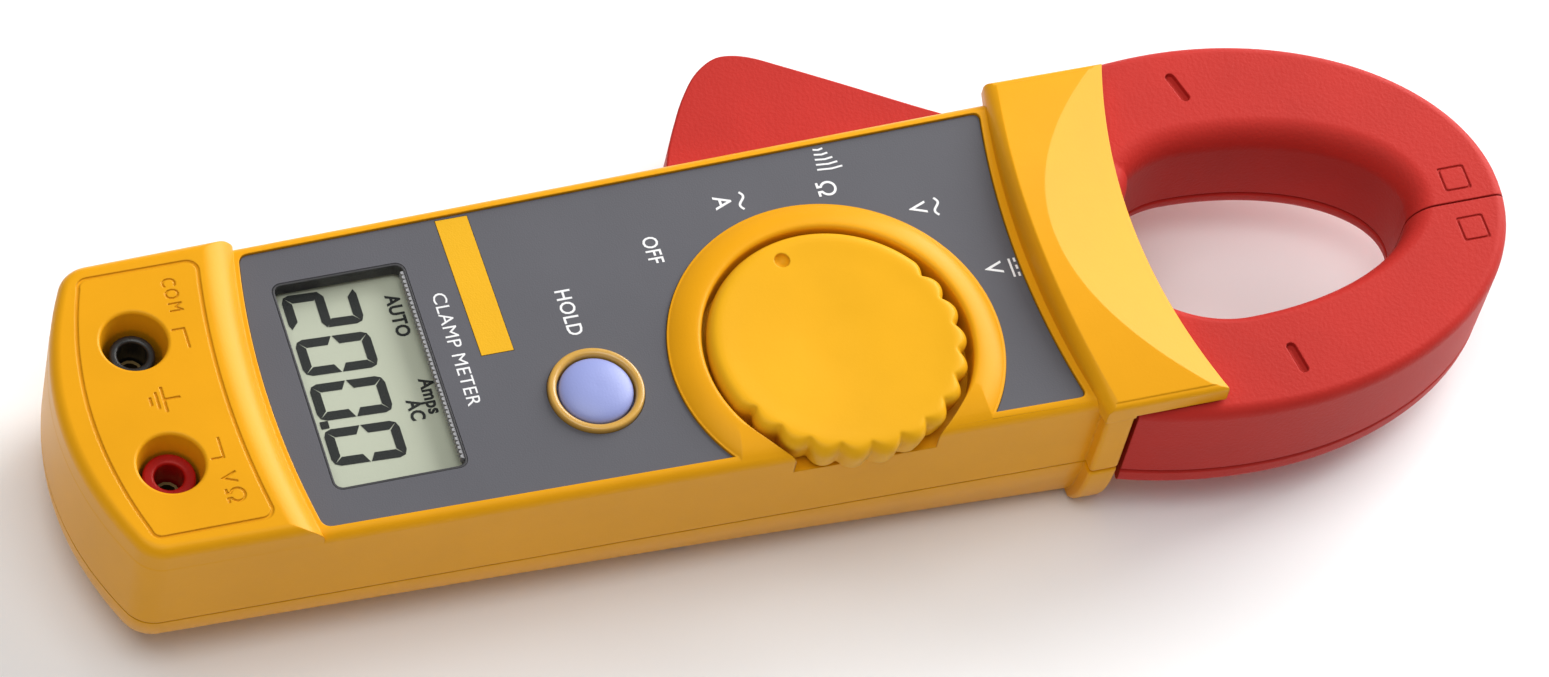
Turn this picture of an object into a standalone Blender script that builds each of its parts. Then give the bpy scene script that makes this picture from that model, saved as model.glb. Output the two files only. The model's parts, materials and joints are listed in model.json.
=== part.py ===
"""Compact lever-jaw clamp meter, lying on its back with the display up.

The design is in millimetres, and MM turns it into metres. X runs across the meter, +Y points to
the jaws and +Z out of the display. The origin is on the flat back face.
"""

import math

import bpy

MM = 0.001
GAP = 0.3  # between pieces that rest on each other
ROUND = 48  # sides of the large turned shapes
REACH = 60.0  # how far a cutter runs past the body

# Body outline in plan
HALF_WIDTH = 25.8  # at y = 0
WIDTH_TAPER = 0.0175  # growth of the half width per mm towards the jaws
END_Y = -81.5
END_ARC = 0.0115  # the bottom end is y = END_Y + END_ARC * x * x
CORNER_RADIUS = 5.0
BODY_TOP_Y = 67.2
WALL = 2.0
CLIP = 0.05  # inset that keeps a joined block off the body's own side faces

# Heights above the back face
SEAM_Z = 13.0
PANEL_Z = 28.5
BORDER_Z = 28.9
EDGE_ROUNDING = 1.7
CEILING_Z = 26.4
SEAT_Z = 27.6  # floor of the recess that holds the face panel
SOCKET_TOP_Z = 32.1
BACK_FLOOR_Z = 2.0
BACK_CURVE = 9.65  # inward run of the rounded back at y = 0
BACK_CURVE_TAPER = -0.076
BACK_END_CURVE = 12.0

# Face panel
PANEL_HALF_WIDTH = 24.1
PANEL_TAPER = 0.0186
PANEL_BOTTOM_Y = -51.2
PANEL_TOP_Y = 62.2
SMILE = 0.004  # bow of the cross lines of the face

# Display
LCD_Y = -36.0
LCD_HALF = (17.6, 9.95)
LCD_CORNER = 1.5
LCD_TOP_Z = 25.35
BADGE_Y = (-19.4, -14.6)

# Controls
BUTTON = (9.4, -5.0)
BUTTON_RADIUS = 5.4
BUTTON_RING_RADIUS = 7.0
BUTTON_TRAVEL = 0.8
DIAL = (9.7, 31.3)
DIAL_RING_RADIUS = 24.7
DIAL_WELL_RADIUS = 19.8
DIAL_RADIUS = 19.1
DIAL_TOP_Z = 30.8
DIAL_FLOOR_Z = 24.6
DIAL_SHAFT_RADIUS = 3.2
FLUTE_PITCH = math.radians(15.0)
FLUTES = (-49.0, 134.0)  # arc that carries the thumb flutes, degrees
POINTER_ANGLE = math.radians(195.0)
POINTER_RADIUS = 15.4
ROTOR_RADIUS = 13.0
SWITCH_STEP = 30.0  # degrees between two switch positions

# Test lead sockets
SOCKET_X = 10.3
SOCKET_Y = -68.0
SOCKET_MOUTH = 5.4
SOCKET_THROAT = 4.3
SOCKET_FLOOR_Z = 21.0  # bottom of the throat round each insert
SOCKET_INSERTS = {"com": (-1, 3.3), "volt": (1, 3.8)}  # side and outer radius

# Collar and cap
COLLAR_Y = (66.8, 71.3)
COLLAR_HALF_WIDTH = 29.2
COLLAR_CURVE = 5.0  # inward run of its rounded lower half
CAP_TOP_Z = 33.1
CAP_EDGE_Z = 28.7
CAP_BACK_Y = 63.4
CAP_BACK_BOW = 3.2
CAP_FRONT_Y = 80.5
CAP_CORNER_Y = 84.4
CAP_UNDER_Z = 27.4
FACET_Y = 67.3
FACET_SLOPE = 0.25
LIP_TOP_Z = 7.0

# Jaws
JAW_TOP_Z = 27.0
JAW_BOTTOM_Z = 7.6
JAW_SEAM_Z = 11.5
JAW_OUTER = (94.0, 32.0, 45.5, 50.0)  # centre y, half width, reach up, reach down
JAW_INNER = (94.0, 15.0, 30.6, 16.0)
JAW_WALL = 2.2
JAW_SPLIT_X = 3.5
CORE_WIDTH = 7.0
CORE_Z = (11.6, 22.6)
COIL_THICKNESS = 1.2
MARK_HALF = (2.7, 0.75)  # engraved mark on each jaw
LEVER_SCREW = (-29.0, 38.0)
ROOT_SCREW = (12.0, 69.0)
PIVOT = (-16.0, 74.0)
PIVOT_RADIUS = 2.0
PIN_Z = (3.2, 29.2)
BOSS_RADIUS = 11.5
LEVER_TOP_Z = 22.0
LEVER_BOTTOM_Z = 9.0

# Inside
BOARD_Z = (17.0, 18.6)
CELL_RADIUS = 5.2
CELL_Y = (-54.8, -11.5)
CELL_X = 5.6
CELL_Z = 8.3
DOOR_HALF_WIDTH = 12.6
DOOR_Y = (-58.5, -9.0)
CASE_SCREWS = ((0.0, -64.5), (18.0, 8.0), (18.0, 57.5), (-18.0, 8.0))
DOOR_SCREW = (0.0, -54.5)


# ---------- building blocks ----------


def clear_scene():
    for item in list(bpy.data.objects):
        bpy.data.objects.remove(item)


def material(name, colour, roughness, metallic=0.0):
    made = bpy.data.materials.new(name)
    made.use_nodes = True
    shader = made.node_tree.nodes["Principled BSDF"]
    shader.inputs["Base Color"].default_value = (*colour, 1.0)
    shader.inputs["Roughness"].default_value = roughness
    shader.inputs["Metallic"].default_value = metallic
    return made


def solid(name, points, faces):
    """A mesh object from millimetre points, with its faces turned outward."""
    mesh = bpy.data.meshes.new(name)
    mesh.from_pydata([[value * MM for value in point] for point in points], [], faces)
    made = bpy.data.objects.new(name, mesh)
    bpy.context.scene.collection.objects.link(made)
    turn_outward(made)
    return made


def turn_outward(item):
    bpy.ops.object.select_all(action="DESELECT")
    item.select_set(True)
    bpy.context.view_layer.objects.active = item
    bpy.ops.object.mode_set(mode="EDIT")
    bpy.ops.mesh.select_all(action="SELECT")
    bpy.ops.mesh.normals_make_consistent(inside=False)
    bpy.ops.object.mode_set(mode="OBJECT")


def loft(name, loops, ring=False):
    """Skins equal loops of points. A ring closes on its first loop, and anything else gets end caps."""
    count = len(loops[0])
    points = [point for loop in loops for point in loop]
    faces = []
    spans = len(loops) if ring else len(loops) - 1
    for i in range(spans):
        here = i * count
        there = (i + 1) % len(loops) * count
        for j in range(count):
            k = (j + 1) % count
            faces.append((here + j, here + k, there + k, there + j))
    if not ring:
        faces.append(tuple(range(count)))
        faces.append(tuple(range(len(points) - count, len(points))))
    return solid(name, points, faces)


def prism(name, outline, low, high):
    return loft(name, [[(x, y, z) for x, y in outline] for z in (low, high)])


def box(name, low, high):
    outline = ((low[0], low[1]), (high[0], low[1]), (high[0], high[1]), (low[0], high[1]))
    return prism(name, outline, low[2], high[2])


def arc(centre, radius, start, end, steps):
    """Points on an arc, its angles in degrees, both ends included."""
    angles = [math.radians(start + (end - start) * i / steps) for i in range(steps + 1)]
    return [(centre[0] + radius * math.cos(a), centre[1] + radius * math.sin(a)) for a in angles]


def circle(centre, radius, steps):
    return arc(centre, radius, 0.0, 360.0, steps)[:-1]


def turned(name, centre, profile, steps, ring=False):
    """Turns (radius, height) points about a vertical axis."""
    loops = [[(x, y, z) for x, y in circle(centre, radius, steps)] for radius, z in profile]
    return loft(name, loops, ring)


def rounded_box(half, radius, steps=4):
    """Outline of a rectangle with round corners, about the origin."""
    x = half[0] - radius
    y = half[1] - radius
    points = []
    for start, centre in ((0, (x, y)), (90, (-x, y)), (180, (-x, -y)), (270, (x, -y))):
        points += arc(centre, radius, start, start + 90, steps)
    return points


def moved(outline, dx, dy):
    return [(x + dx, y + dy) for x, y in outline]


def combine(target, tool, operation):
    modifier = target.modifiers.new(operation.lower(), "BOOLEAN")
    modifier.object = tool
    modifier.operation = operation
    modifier.solver = "EXACT"
    bpy.context.view_layer.objects.active = target
    bpy.ops.object.modifier_apply(modifier=modifier.name)
    bpy.data.objects.remove(tool)
    return target


def cut(target, *tools):
    for tool in tools:
        combine(target, tool, "DIFFERENCE")
    return target


def join(target, *tools):
    for tool in tools:
        combine(target, tool, "UNION")
    return target


def soften(item, width, segments=2, limit=40.0):
    """Rounds the sharp edges of an item."""
    modifier = item.modifiers.new("soften", "BEVEL")
    modifier.width = width * MM
    modifier.segments = segments
    modifier.limit_method = "ANGLE"
    modifier.angle_limit = math.radians(limit)
    bpy.context.view_layer.objects.active = item
    bpy.ops.object.modifier_apply(modifier=modifier.name)
    return item


def finish(item, look, origin=(0.0, 0.0, 0.0)):
    """Gives a piece its material, smooth shading and, for a moving piece, an origin on its axis."""
    item.data.materials.clear()
    item.data.materials.append(look)
    item.data.shade_smooth()
    item.data.set_sharp_from_angle(angle=math.radians(35.0))
    for vertex in item.data.vertices:
        vertex.co = [value - shift * MM for value, shift in zip(vertex.co, origin)]
    item.location = [shift * MM for shift in origin]
    return item


def coil(name, centre, axis, radius, wire, start, end, turns, steps=12, sides=6):
    """A round wire wound as a helix along an axis, 0 for x, 1 for y and 2 for z."""
    loops = []
    total = round(turns * steps)
    for i in range(total + 1):
        angle = 2.0 * math.pi * i / steps
        along = start + (end - start) * i / total
        loop = []
        for j in range(sides):
            around = 2.0 * math.pi * j / sides
            reach = radius + wire * math.cos(around)
            local = (reach * math.cos(angle), reach * math.sin(angle), along + wire * math.sin(around))
            loop.append(turn_axis(local, axis, centre))
        loops.append(loop)
    return loft(name, loops)


def turn_axis(local, axis, centre):
    """Puts a point, made about the z axis, about another axis through a centre."""
    a, b, c = local
    turned_point = ((c, a, b), (b, c, a), (a, b, c))[axis]
    return tuple(value + shift for value, shift in zip(turned_point, centre))


# ---------- body outline ----------


def half_width(y):
    return HALF_WIDTH + WIDTH_TAPER * y


def body_outline(z, side=(0.0, 0.0), end=0.0, top=BODY_TOP_Y, bow=0.0, radius=CORNER_RADIUS):
    """A loop round the body at height z. The side inset is side[0] + side[1] * y."""

    def edge(y):
        return half_width(y) - side[0] - side[1] * y

    y0 = END_Y + end
    lean = math.degrees(math.atan(2.0 * END_ARC * (edge(y0) - 0.6 * radius)))
    lean_sin = math.sin(math.radians(lean))
    lean_cos = math.cos(math.radians(lean))
    corner_x = edge(y0 + 7.0) - radius * (1.0 - lean_sin)
    corner_y = y0 + END_ARC * corner_x**2
    centre = (corner_x - radius * lean_sin, corner_y + radius * lean_cos)
    right = arc(centre, radius, lean - 90.0, 0.0, 5)
    left = [(-x, y) for x, y in reversed(right)]
    bottom = []
    for i in range(-5, 6):
        x = corner_x * i / 6.0
        bottom.append((x, y0 + END_ARC * x * x))
    corner_top = top + bow * half_width(top) ** 2
    wide = edge(corner_top)
    across = []
    for i in range(8, -9, -2):
        x = wide * i / 8.0
        across.append((x, top + bow * x * x))
    return [(x, y, z) for x, y in left + bottom + right + across]


def panel_outline(inset, bottom=PANEL_BOTTOM_Y, top=PANEL_TOP_Y):
    """The face panel's outline: two bowed cross lines joined by tapered sides."""
    points = []
    for step, y0 in ((1, bottom + inset), (-1, top - inset)):
        wide = PANEL_HALF_WIDTH + PANEL_TAPER * (y0 + SMILE * 500.0) - inset
        for i in range(-4, 5):
            x = step * wide * i / 4.0
            points.append((x, y0 + SMILE * x * x))
    return points


def back_inset(z):
    """Inward curve of the back shell at height z."""
    drop = (SEAM_Z - z) / SEAM_Z
    share = 1.0 - math.sqrt(max(0.0, 1.0 - drop * drop))
    return (BACK_CURVE * share, BACK_CURVE_TAPER * share), BACK_END_CURVE * share


# ---------- casing ----------


def body_tub():
    """The outside of the upper body without its raised ends."""
    side_step = EDGE_ROUNDING * (1.0 - math.cos(math.radians(45.0)))
    outer = [
        body_outline(SEAM_Z + 0.1),
        body_outline(BORDER_Z - EDGE_ROUNDING),
        body_outline(BORDER_Z - side_step, (side_step, 0.0), side_step),
        body_outline(BORDER_Z, (EDGE_ROUNDING, 0.0), EDGE_ROUNDING, radius=4.0),
    ]
    return loft("front_shell", outer)


def upper_hollow():
    loops = [
        body_outline(SEAM_Z - 1.0, (WALL, 0.0), WALL, 64.0, radius=3.5),
        body_outline(CEILING_Z, (WALL, 0.0), WALL, 64.0, radius=3.5),
    ]
    return loft("upper_hollow", loops)


def socket_block():
    """The outside of the raised socket end, with a bowed slope down to the face."""
    side_step = EDGE_ROUNDING * (1.0 - math.cos(math.radians(45.0)))
    shy = (CLIP, 0.0)
    side = CLIP + side_step
    top = CLIP + EDGE_ROUNDING
    loops = [
        body_outline(CEILING_Z - 4.0, shy, CLIP, top=-52.0, bow=SMILE),
        body_outline(BORDER_Z - 0.3, shy, CLIP, top=-52.0, bow=SMILE),
        body_outline(SOCKET_TOP_Z - EDGE_ROUNDING, shy, CLIP, top=-54.0, bow=SMILE),
        body_outline(SOCKET_TOP_Z - side_step, (side, 0.0), side, -54.9, SMILE),
        body_outline(SOCKET_TOP_Z, (top, 0.0), top, -56.2, SMILE, 4.0),
    ]
    return loft("socket_block", loops)


def socket_hollow():
    loops = [
        body_outline(SEAM_Z - 2.0, (WALL + 0.8, 0.0), WALL + 0.8, -56.5, radius=3.0),
        body_outline(SOCKET_TOP_Z - 2.2, (WALL + 1.0, 0.0), WALL + 1.0, -58.0, radius=3.0),
    ]
    return loft("socket_hollow", loops)


def clip_to_body(item, low, high):
    """Keeps what lies within the body's outline."""
    loops = [body_outline(z, (CLIP, 0.0), CLIP) for z in (low, high)]
    return combine(item, loft("clip", loops), "INTERSECT")


def dial_ring():
    """The raised ring round the switch knob, with the wall and the floor of its well."""
    outer = DIAL_RING_RADIUS
    inner = DIAL_WELL_RADIUS
    profile = (
        (inner, DIAL_FLOOR_Z - 2.0),
        (inner + 2.0, DIAL_FLOOR_Z - 2.0),
        (inner + 2.0, CEILING_Z - 0.5),
        (outer, CEILING_Z + 0.6),
        (outer, PANEL_Z + 0.2),
        (outer - 0.7, PANEL_Z + 0.8),
        (outer - 2.2, PANEL_Z + 1.5),
        (inner + 0.8, PANEL_Z + 1.8),
        (inner, PANEL_Z + 1.1),
    )
    ring = turned("dial_ring", DIAL, profile, ROUND, ring=True)
    floor = prism("floor", circle(DIAL, inner + 0.6, ROUND), DIAL_FLOOR_Z - 2.0, DIAL_FLOOR_Z)
    return clip_to_body(join(ring, floor), 10.0, 40.0)


def bowed_edge(middle, corner):
    """A line across the meter, bowed from its middle to its corners, a little wider than the cap."""
    wide = 1.05
    return [
        (COLLAR_HALF_WIDTH * wide * i / 8.0, middle + (corner - middle) * (wide * i / 8.0) ** 2)
        for i in range(-8, 9)
    ]


def cap():
    """The cap over the jaw roots: a crowned bar, bowed in plan, whose front is one sloping facet."""
    base = CAP_UNDER_Z - 0.6
    crown = []
    for i in range(-10, 11):
        share = i / 10.0
        crown.append((COLLAR_HALF_WIDTH * share, CAP_TOP_Z - (CAP_TOP_Z - CAP_EDGE_Z) * share * share))
    section = [(-COLLAR_HALF_WIDTH, base)] + crown + [(COLLAR_HALF_WIDTH, base)]
    bar = loft("cap", [[(x, y, z) for x, z in section] for y in (60.0, 90.0)])
    far = CAP_CORNER_Y + 10.0
    front = bowed_edge(CAP_FRONT_Y, CAP_CORNER_Y) + [(REACH, far), (-REACH, far)]
    back = []
    for y, z in ((0.0, 20.0), (0.1, 30.9), (0.3, 31.9), (0.7, 32.6), (1.4, 33.5)):
        line = bowed_edge(CAP_BACK_Y + y, CAP_BACK_Y + y + CAP_BACK_BOW)
        back.append([(x, v, z) for x, v in line + [(REACH, 50.0), (-REACH, 50.0)]])
    low = CAP_TOP_Z - (far - FACET_Y) * FACET_SLOPE
    slope = []
    for x in (-REACH, REACH):
        slope.append([(x, FACET_Y, CAP_TOP_Z), (x, far, low), (x, far, 60.0)])
    return cut(bar, prism("front", front, 20.0, 40.0), loft("back", back), loft("slope", slope))


def collar(name, low, high):
    """Half of the band round the jaw roots, between two heights."""
    steps = []
    for i in range(7):
        z = low + (high - low) * i / 6.0
        depth = max(0.0, (SEAM_Z - z) / SEAM_Z)
        inset = CLIP + COLLAR_CURVE * (1.0 - math.sqrt(1.0 - depth * depth))
        steps.append((COLLAR_HALF_WIDTH - inset, z))
    section = steps + [(-x, z) for x, z in reversed(steps)]
    loops = [[(x, y, z) for x, z in section] for y in COLLAR_Y]
    return soften(loft(name, loops), 0.5, 2, 60.0)


def jaw_space():
    """Room for the jaw roots and, on the lever's side, for their swing."""
    near = half_width(60.0) - WALL
    roots = box("roots", (-REACH, 60.5, LIP_TOP_Z), (near, 95.0, CAP_UNDER_Z))
    front = box("front", (-REACH - 1.0, COLLAR_Y[1], LIP_TOP_Z), (REACH, 96.0, CAP_UNDER_Z))
    slot = box("slot", (-REACH, 16.3, LEVER_BOTTOM_Z - 0.6), (-20.0, 62.0, LEVER_TOP_Z + 0.6))
    return join(roots, front), slot


def front_shell(look):
    shell = join(body_tub(), socket_block())
    cut(shell, upper_hollow(), socket_hollow())
    join(shell, dial_ring())
    for x, y in CASE_SCREWS:
        ceiling = CEILING_Z if y > PANEL_BOTTOM_Y else SOCKET_TOP_Z - 2.2
        join(shell, prism("boss", circle((x, y), 3.2, 16), SEAM_Z + 0.1, ceiling + 0.6))
    join(shell, join(cap(), collar("collar", SEAM_Z + 0.1, CAP_UNDER_Z + 1.0)))
    roots, slot = jaw_space()
    cut(shell, roots, slot)
    recess = prism("recess", panel_outline(0.0), SEAT_Z, PANEL_Z + 0.45)
    keep_ring = prism("keep_ring", circle(DIAL, DIAL_RING_RADIUS, ROUND), SEAT_Z - 1.0, 40.0)
    cut(shell, cut(recess, keep_ring))
    well = prism("well", circle(DIAL, DIAL_WELL_RADIUS, ROUND), DIAL_FLOOR_Z, 40.0)
    cut(shell, well, prism("shaft_hole", circle(DIAL, DIAL_SHAFT_RADIUS + 0.4, 24), 15.0, 30.0))
    window = moved(rounded_box(LCD_HALF, LCD_CORNER), 0.0, LCD_Y)
    cut(shell, prism("window", window, 20.0, 40.0))
    cut(shell, prism("button_hole", circle(BUTTON, BUTTON_RADIUS + 0.35, 24), 20.0, 40.0))
    for side, outer in SOCKET_INSERTS.values():
        socket_throat(shell, (side * SOCKET_X, SOCKET_Y), outer + GAP)
    for x, y in CASE_SCREWS:
        cut(shell, prism("thread", circle((x, y), 1.6, 12), 5.0, 20.6))
    cut(shell, prism("pin_hole", circle(PIVOT, PIVOT_RADIUS + GAP, 16), 20.0, PIN_Z[1] + GAP))
    return finish(shell, look)


def socket_throat(shell, centre, bore):
    """A round wall under the socket's mouth, with a floor that the insert passes through."""
    outline = circle(centre, SOCKET_MOUTH, 24)
    join(shell, prism("throat_wall", outline, SOCKET_FLOOR_Z - 2.0, SOCKET_TOP_Z - 1.0))
    mouth = (
        (bore, 10.0),
        (bore, SOCKET_FLOOR_Z),
        (SOCKET_THROAT, SOCKET_FLOOR_Z),
        (SOCKET_THROAT, SOCKET_TOP_Z - 2.6),
        (SOCKET_MOUTH, SOCKET_TOP_Z),
        (SOCKET_MOUTH, 40.0),
    )
    cut(shell, turned("mouth", centre, mouth, 24))


def back_hull():
    loops = []
    for i in range(7):
        z = SEAM_Z * math.sin(math.radians(15.0 * i)) if i < 6 else SEAM_Z - 0.1
        side, end = back_inset(min(z, SEAM_Z))
        loops.append(body_outline(z, side, end))
    return loft("back_hull", loops)


def back_hollow():
    loops = []
    for i in range(5):
        z = BACK_FLOOR_Z + (SEAM_Z - BACK_FLOOR_Z) * i / 4.0
        side, end = back_inset(z)
        if i == 4:
            z = SEAM_Z + 1.0
        loops.append(body_outline(z, (side[0] + WALL, side[1]), end + WALL, 64.0, radius=3.5))
    return loft("back_hollow", loops)


def door_outline(inset):
    half = (DOOR_HALF_WIDTH - inset, (DOOR_Y[1] - DOOR_Y[0]) / 2.0 - inset)
    return moved(rounded_box(half, 3.0 - inset), 0.0, (DOOR_Y[0] + DOOR_Y[1]) / 2.0)


def back_shell(look):
    shell = cut(back_hull(), back_hollow())
    shell.name = "back_shell"
    for x, y in CASE_SCREWS:
        join(shell, prism("boss", circle((x, y), 3.6, 16), BACK_FLOOR_Z - 1.0, SEAM_Z - 0.1))
    lip = prism("lip", moved(rounded_box((21.0, 9.0), 5.0), 0.0, 73.0), 1.4, LIP_TOP_Z + 1.5)
    join(shell, collar("collar", 0.6, SEAM_Z - 0.1), soften(lip, 1.0, 2, 60.0))
    roots, slot = jaw_space()
    cut(shell, roots, slot)
    cut(shell, prism("doorway", door_outline(0.0), -5.0, 10.0))
    for x, y in CASE_SCREWS:
        profile = ((2.9, -5.0), (2.9, 2.9), (1.5, 2.9), (1.5, 20.0))
        cut(shell, turned("screw_hole", (x, y), profile, 14))
    cut(shell, prism("pin_hole", circle(PIVOT, PIVOT_RADIUS + GAP, 16), 2.9, 20.0))
    return finish(shell, look)


def battery_door(look):
    door = combine(back_hull(), prism("doorway", door_outline(GAP), -5.0, 10.0), "INTERSECT")
    door.name = "battery_door"
    cut(door, back_hollow())
    profile = ((2.6, -5.0), (2.6, 0.9), (1.4, 0.9), (1.4, 9.0))
    cut(door, turned("screw_hole", DOOR_SCREW, profile, 20))
    for i in range(3):
        y = -20.0 - 2.6 * i
        cut(door, box("grip", (-5.0, y, -1.0), (5.0, y + 1.0, 0.4)))
    return finish(door, look)


def screw(name, place, head_radius, head, tip, shank_radius, look, origin=(0.0, 0.0, 0.0)):
    """A screw standing on its head: the slot is cut in the lower face."""
    profile = (
        (head_radius, head[0]),
        (head_radius, head[1]),
        (shank_radius, head[1]),
        (shank_radius, tip - 1.0),
        (0.3, tip),
    )
    made = turned(name, place, profile, 14)
    x, y = place
    half = head_radius * 0.6
    depth = head[0] + 0.5 * (head[1] - head[0])
    cut(made, box("slot", (x - half, y - 0.35, head[0] - 1.0), (x + half, y + 0.35, depth)))
    cut(made, box("slot", (x - 0.35, y - half, head[0] - 1.0), (x + 0.35, y + half, depth)))
    return finish(made, look, origin)


# ---------- face ----------


def face_panel(look):
    panel = prism("face_panel", panel_outline(0.15), SEAT_Z + 0.3, PANEL_Z)
    cut(panel, prism("ring_hole", circle(DIAL, DIAL_RING_RADIUS + 0.12, ROUND), 20.0, 40.0))
    window = moved(rounded_box(LCD_HALF, LCD_CORNER), 0.0, LCD_Y)
    cut(panel, prism("window", window, 20.0, 40.0))
    cut(panel, prism("button_hole", circle(BUTTON, BUTTON_RING_RADIUS + 0.1, 40), 20.0, 40.0))
    return finish(cut(panel, prism("badge_seat", badge_outline(-0.1), PANEL_Z - 0.35, 40.0)), look)


def badge_outline(inset):
    low = BADGE_Y[0] + inset
    high = BADGE_Y[1] - inset
    left = -PANEL_HALF_WIDTH - PANEL_TAPER * BADGE_Y[0] + 0.5 + inset
    right = 0.2 - inset
    return [(left, low - 0.3), (right, low), (right, high), (left, high - 0.3)]


def badge_strip(look):
    return finish(prism("badge_strip", badge_outline(0.0), PANEL_Z - 0.25, PANEL_Z + 0.05), look)


def display(looks):
    wide = (LCD_HALF[0] + 1.7, LCD_HALF[1] + 1.7)
    pane = moved(rounded_box(wide, 1.0), 0.0, LCD_Y)
    finish(prism("lcd_window", pane, LCD_TOP_Z + 0.3, LCD_TOP_Z + 0.75), looks["clear"])
    finish(prism("lcd_cell", pane, LCD_TOP_Z - 2.2, LCD_TOP_Z), looks["lcd"])
    outer = moved(rounded_box((wide[0] + 2.2, wide[1] + 2.2), 2.0), 0.0, LCD_Y)
    frame = prism("lcd_frame", outer, BOARD_Z[1] + GAP, LCD_TOP_Z + 0.75)
    inner = moved(rounded_box((wide[0] + 0.2, wide[1] + 0.2), 1.0), 0.0, LCD_Y)
    finish(cut(frame, prism("pocket", inner, 10.0, 40.0)), looks["dark_plastic"])
    for number, side in ((1, -1), (2, 1)):
        y = LCD_Y + side * (wide[1] - 1.4)
        low = (-wide[0] + 1.5, y - 1.0, BOARD_Z[1] + GAP)
        high = (wide[0] - 1.5, y + 1.0, LCD_TOP_Z - 2.5)
        finish(box(f"contact_strip_{number}", low, high), looks["rubber"])


def button_parts(looks):
    ring_low = SEAT_Z + 0.3
    ring = (
        (BUTTON_RADIUS + 0.3, ring_low),
        (BUTTON_RING_RADIUS, ring_low),
        (BUTTON_RING_RADIUS, PANEL_Z + 0.2),
        (BUTTON_RING_RADIUS - 0.4, PANEL_Z + 0.75),
        (BUTTON_RADIUS + 0.9, PANEL_Z + 0.75),
        (BUTTON_RADIUS + 0.3, PANEL_Z + 0.1),
    )
    finish(turned("hold_button_ring", BUTTON, ring, 28, ring=True), looks["gold"])
    stem_low = CEILING_Z - 1.9
    profile = [(2.0, stem_low), (2.0, CEILING_Z - 1.5), (6.6, CEILING_Z - 1.5), (6.6, CEILING_Z - 0.4)]
    profile += [(BUTTON_RADIUS, CEILING_Z - 0.4), (BUTTON_RADIUS, PANEL_Z + 0.5)]
    for share in (0.92, 0.65, 0.25):
        rise = 1.2 * math.sqrt(1.0 - share * share)
        profile.append((BUTTON_RADIUS * share, PANEL_Z + 0.5 + rise))
    button = turned("hold_button", BUTTON, profile, 20)
    finish(button, looks["lavender"], (*BUTTON, PANEL_Z))
    base = moved(rounded_box((3.0, 3.0), 0.4, 1), *BUTTON)
    switch = prism("hold_switch", base, BOARD_Z[1] + GAP, stem_low - BUTTON_TRAVEL - 0.9)
    cap_top = stem_low - BUTTON_TRAVEL - 0.2
    join(switch, prism("plunger", circle(BUTTON, 1.6, 16), 20.0, cap_top))
    finish(switch, looks["dark_plastic"])


def flute(angle):
    """Depth of the thumb flutes at an angle round the knob, 0 on the land and 1 in the flute."""
    degrees = (math.degrees(angle) + 180.0) % 360.0 - 180.0
    if not FLUTES[0] <= degrees <= FLUTES[1]:
        return 0.0
    phase = (degrees - FLUTES[0]) / math.degrees(FLUTE_PITCH)
    offset = abs(phase - round(phase)) * 2.0
    return max(0.0, 1.0 - (offset / 0.62) ** 2)


def dial_parts(looks):
    steps = 96
    base = DIAL_FLOOR_Z + GAP
    loops = []
    rows = (
        (DIAL_RADIUS - 0.5, base, 1.0),
        (DIAL_RADIUS, base + 0.5, 1.0),
        (DIAL_RADIUS, DIAL_TOP_Z - 1.2, 1.0),
        (DIAL_RADIUS - 1.0, DIAL_TOP_Z, 0.6),
        (DIAL_RADIUS - 3.0, DIAL_TOP_Z - 0.1, 0.0),
        (2.0, DIAL_TOP_Z - 0.9, 0.0),
    )
    for radius, z, depth in rows:
        loop = []
        for i in range(steps):
            angle = 2.0 * math.pi * i / steps
            reach = radius - 1.3 * depth * flute(angle)
            loop.append((DIAL[0] + reach * math.cos(angle), DIAL[1] + reach * math.sin(angle), z))
        loops.append(loop)
    knob = loft("switch_knob", loops)
    shaft_low = BOARD_Z[1] + 1.0
    join(knob, prism("shaft", circle(DIAL, DIAL_SHAFT_RADIUS, 24), shaft_low, base + 2.0))
    dot = (
        DIAL[0] + POINTER_RADIUS * math.cos(POINTER_ANGLE),
        DIAL[1] + POINTER_RADIUS * math.sin(POINTER_ANGLE),
    )
    dimple = ((0.3, DIAL_TOP_Z - 1.3), (0.8, DIAL_TOP_Z - 0.9), (1.1, DIAL_TOP_Z + 1.0))
    cut(knob, turned("dimple", dot, dimple, 16))
    finish(knob, looks["yellow"], (*DIAL, DIAL_TOP_Z))
    low = BOARD_Z[1] + 0.6
    inner = DIAL_SHAFT_RADIUS + GAP
    ring = [(inner, low), (ROTOR_RADIUS, low), (ROTOR_RADIUS, low + 1.6)]
    ring += [(6.0, low + 2.4), (inner, low + 2.4)]
    rotor = turned("switch_rotor", DIAL, ring, 32, ring=True)
    for i in range(-1, 4):
        angle = 90.0 + SWITCH_STEP * i
        notch = arc(DIAL, ROTOR_RADIUS + 0.55, angle, angle, 1)[0]
        cut(rotor, prism("notch", circle(notch, 1.3, 12), low - 1.0, low + 3.0))
    finish(rotor, looks["dark_plastic"], (*DIAL, low))
    ball_y = DIAL[1] + ROTOR_RADIUS + 1.0
    ball_z = low + 0.8
    rows = []
    for degrees in range(-75, 80, 30):
        angle = math.radians(degrees)
        rows.append((math.cos(angle), ball_z + math.sin(angle)))
    finish(turned("detent_ball", (DIAL[0], ball_y), rows, 12), looks["steel"])
    ends = (ball_y + 1.5, ball_y + 6.0)
    spring = coil("detent_spring", (DIAL[0], 0.0, ball_z), 1, 0.8, 0.15, *ends, 4.0, 8, 4)
    finish(spring, looks["steel"])


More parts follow.
